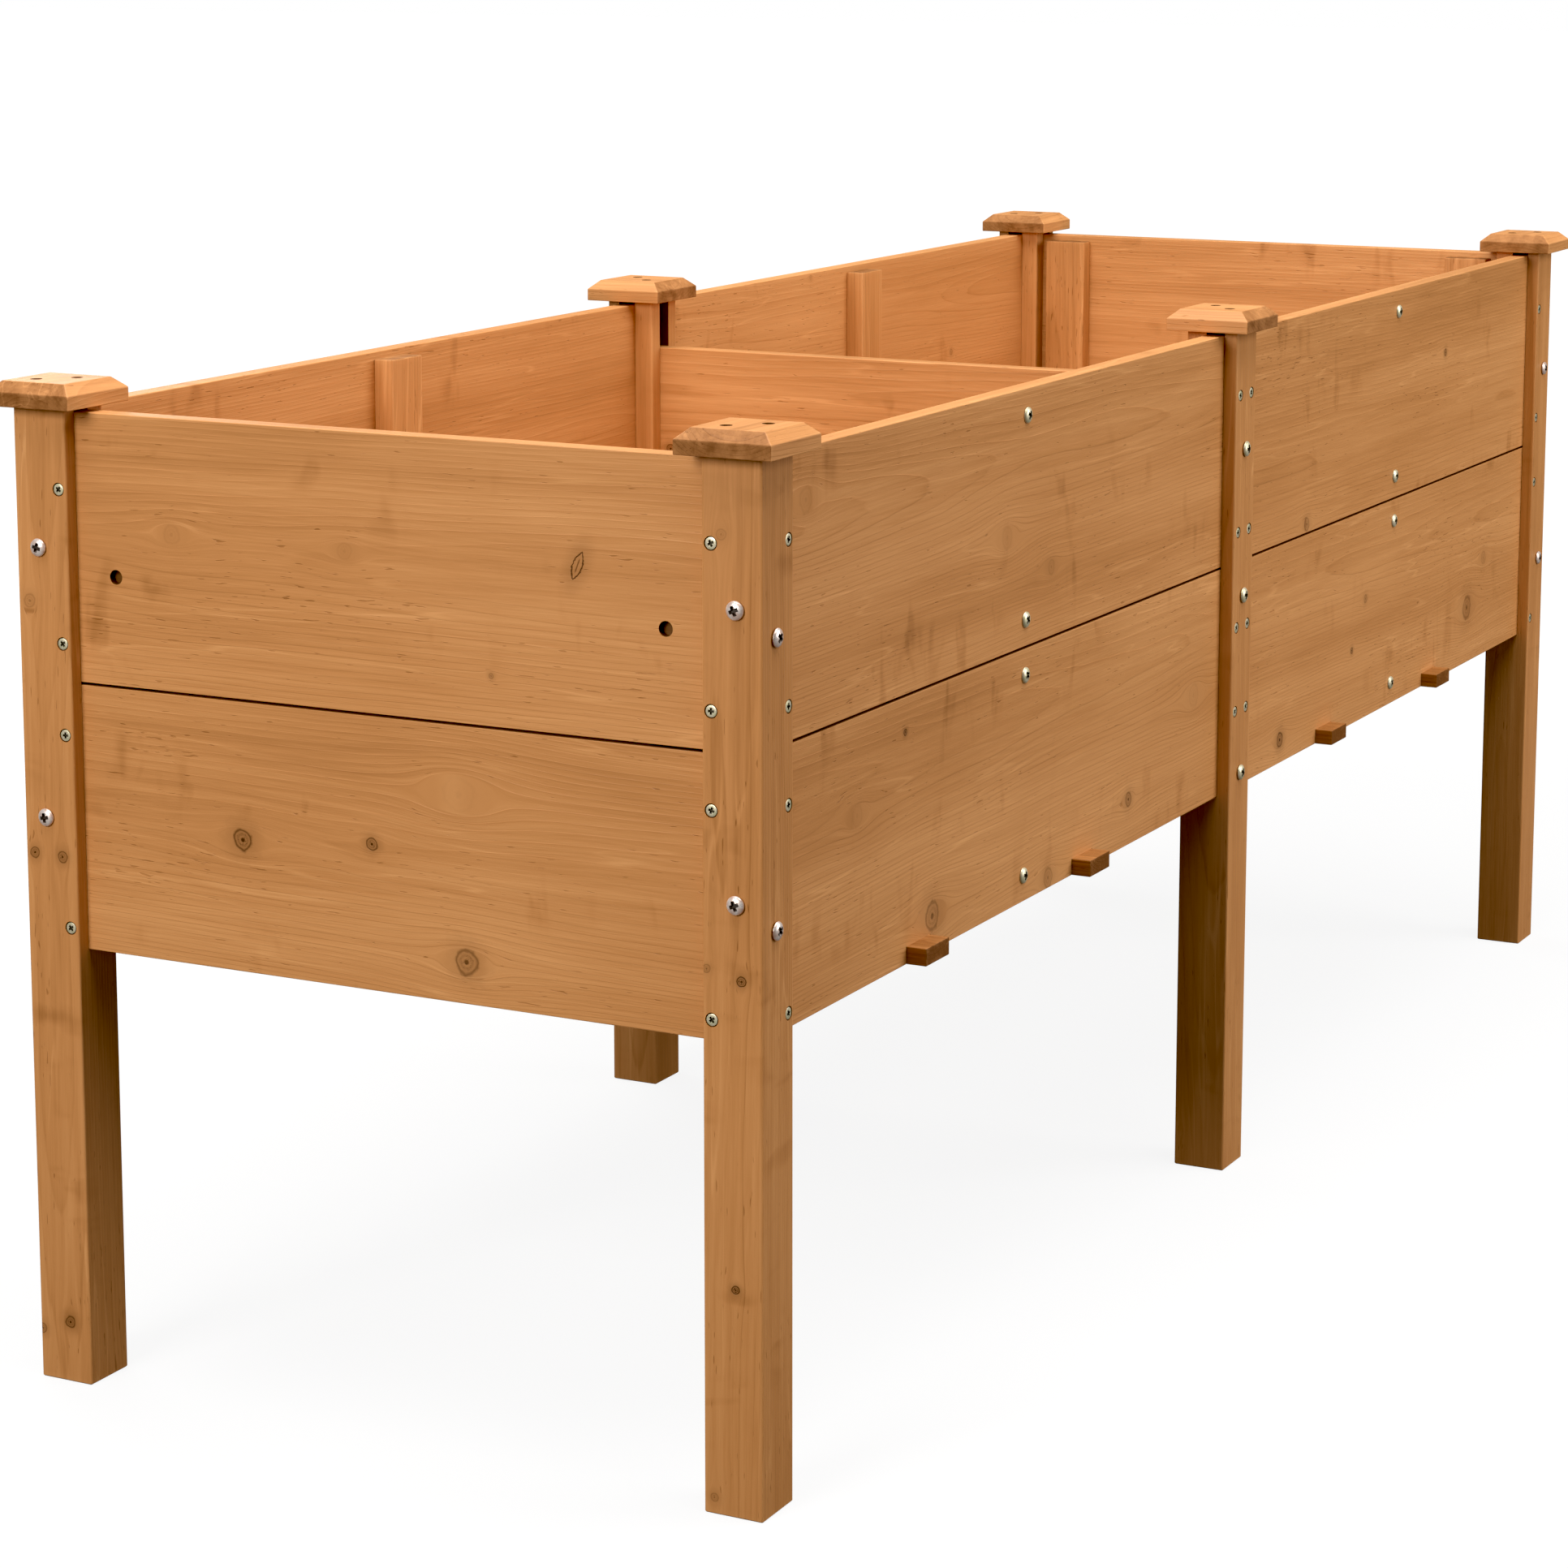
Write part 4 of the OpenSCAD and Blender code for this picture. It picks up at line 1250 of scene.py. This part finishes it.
class PLANTER_OT_stage(bpy.types.Operator):
    """Pale floor, soft studio light and the camera"""
    bl_idname = "planter.stage"
    bl_label = "Stage"

    def execute(self, context):
        scene, stage = context.scene, context.scene.planter_stage
        deselect()
        bpy.ops.mesh.primitive_plane_add(size=FLOOR_SIZE, location=(0, 0, -FLOOR_DROP))
        floor = bpy.context.object
        floor.name = floor.data.name = "studio_floor"
        settle(floor)
        material = bpy.data.materials.new("studio floor")
        material.use_nodes = True
        tree = material.node_tree
        tree.nodes.clear()
        out = put(tree, "ShaderNodeOutputMaterial")
        seen = put(tree, "ShaderNodeLightPath").outputs["Is Camera Ray"]
        # The floor's glow, seen by the camera only, is darker round the planter: a painted shadow
        # that fades to white from FLOOR_NEAR to FLOOR_FAR
        spot = scaled(tree, put(tree, "ShaderNodeTexCoord").outputs["Object"], (0.6, 1.0, 0.0))
        shadow_fade = ramp(tree, vector_calc(tree, "LENGTH", spot), FLOOR_NEAR, FLOOR_FAR)
        glow = fit(tree, shadow_fade, FLOOR_WHITE - stage.floor, stage.floor)
        shader = put(tree, "ShaderNodeBsdfPrincipled", {
            "Base Color": (0.10, 0.10, 0.10, 1), "Roughness": 0.9, "Emission Color": (1, 1, 1, 1),
            "Emission Strength": times(tree, seen, glow), "Specular IOR Level": 0.0})
        tree.links.new(shader.outputs[0], out.inputs[0])
        floor.data.materials.append(material)

        world = bpy.data.worlds.new("Studio room")
        scene.world = world
        world.use_nodes = True
        tree = world.node_tree
        tree.nodes.clear()
        seen = put(tree, "ShaderNodeLightPath").outputs["Is Camera Ray"]
        strength = ramp(tree, seen, 0, 1, stage.room, 1.0, False)
        back = put(tree, "ShaderNodeBackground", {"Color": (1, 1, 1, 1), "Strength": strength})
        out = put(tree, "ShaderNodeOutputWorld")
        tree.links.new(back.outputs[0], out.inputs[0])

        for lamp in LAMPS:
            soft_light(*lamp)

        data = bpy.data.cameras.new("camera")
        camera = bpy.data.objects.new("camera", data)
        scene.collection.objects.link(camera)
        scene.camera = camera
        data.sensor_width, data.lens, data.shift_y = SENSOR, stage.lens, stage.rise
        data.clip_start, data.clip_end = 0.05, 200
        camera.location = stage.camera_place
        camera.rotation_euler = (math.pi / 2 - stage.camera_tilt, 0,
                                 stage.camera_turn - math.pi / 2)
        scene.view_settings.view_transform = "Standard"
        scene.view_settings.look = "None"
        scene.view_settings.use_curve_mapping = True
        tones = scene.view_settings.curve_mapping
        tones.black_level = [stage.black] * 3
        tones.update()
        return {"FINISHED"}


OPERATORS = (
    PLANTER_OT_stage, PLANTER_OT_finishes, PLANTER_OT_posts, PLANTER_OT_caps,
    PLANTER_OT_long_boards, PLANTER_OT_end_boards, PLANTER_OT_divider, PLANTER_OT_battens,
    PLANTER_OT_floor, PLANTER_OT_flat_screws, PLANTER_OT_dome_screws,
)
SETTINGS = (PlanterSizes, PlanterFinish, PlanterStage)


class PLANTER_PT_panel(bpy.types.Panel):
    """Lists the planter's sizes, colours and building steps"""
    bl_idname = "PLANTER_PT_panel"
    bl_label = "Raised planter"
    bl_space_type = "VIEW_3D"
    bl_region_type = "UI"
    bl_category = "Planter"

    def draw(self, context):
        scene = context.scene
        for settings in (scene.planter_sizes, scene.planter_finish, scene.planter_stage):
            box = self.layout.box()
            for name in settings.__annotations__:
                box.prop(settings, name)
        for operator in OPERATORS:
            self.layout.operator(operator.bl_idname)


def register():
    for cls in SETTINGS + OPERATORS + (PLANTER_PT_panel,):
        bpy.utils.register_class(cls)
    bpy.types.Scene.planter_sizes = PointerProperty(type=PlanterSizes)
    bpy.types.Scene.planter_finish = PointerProperty(type=PlanterFinish)
    bpy.types.Scene.planter_stage = PointerProperty(type=PlanterStage)


def unregister():
    del bpy.types.Scene.planter_stage
    del bpy.types.Scene.planter_finish
    del bpy.types.Scene.planter_sizes
    for cls in reversed(SETTINGS + OPERATORS + (PLANTER_PT_panel,)):
        bpy.utils.unregister_class(cls)


def main():
    register()
    for step in ("stage", "finishes", "posts", "caps", "long_boards", "end_boards", "divider",
                 "battens", "floor", "flat_screws", "dome_screws"):
        if getattr(bpy.ops.planter, step)() != {"FINISHED"}:
            raise RuntimeError(f"the step {step} didn't finish")
    deselect()
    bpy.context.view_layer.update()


if __name__ == "__main__":
    main()
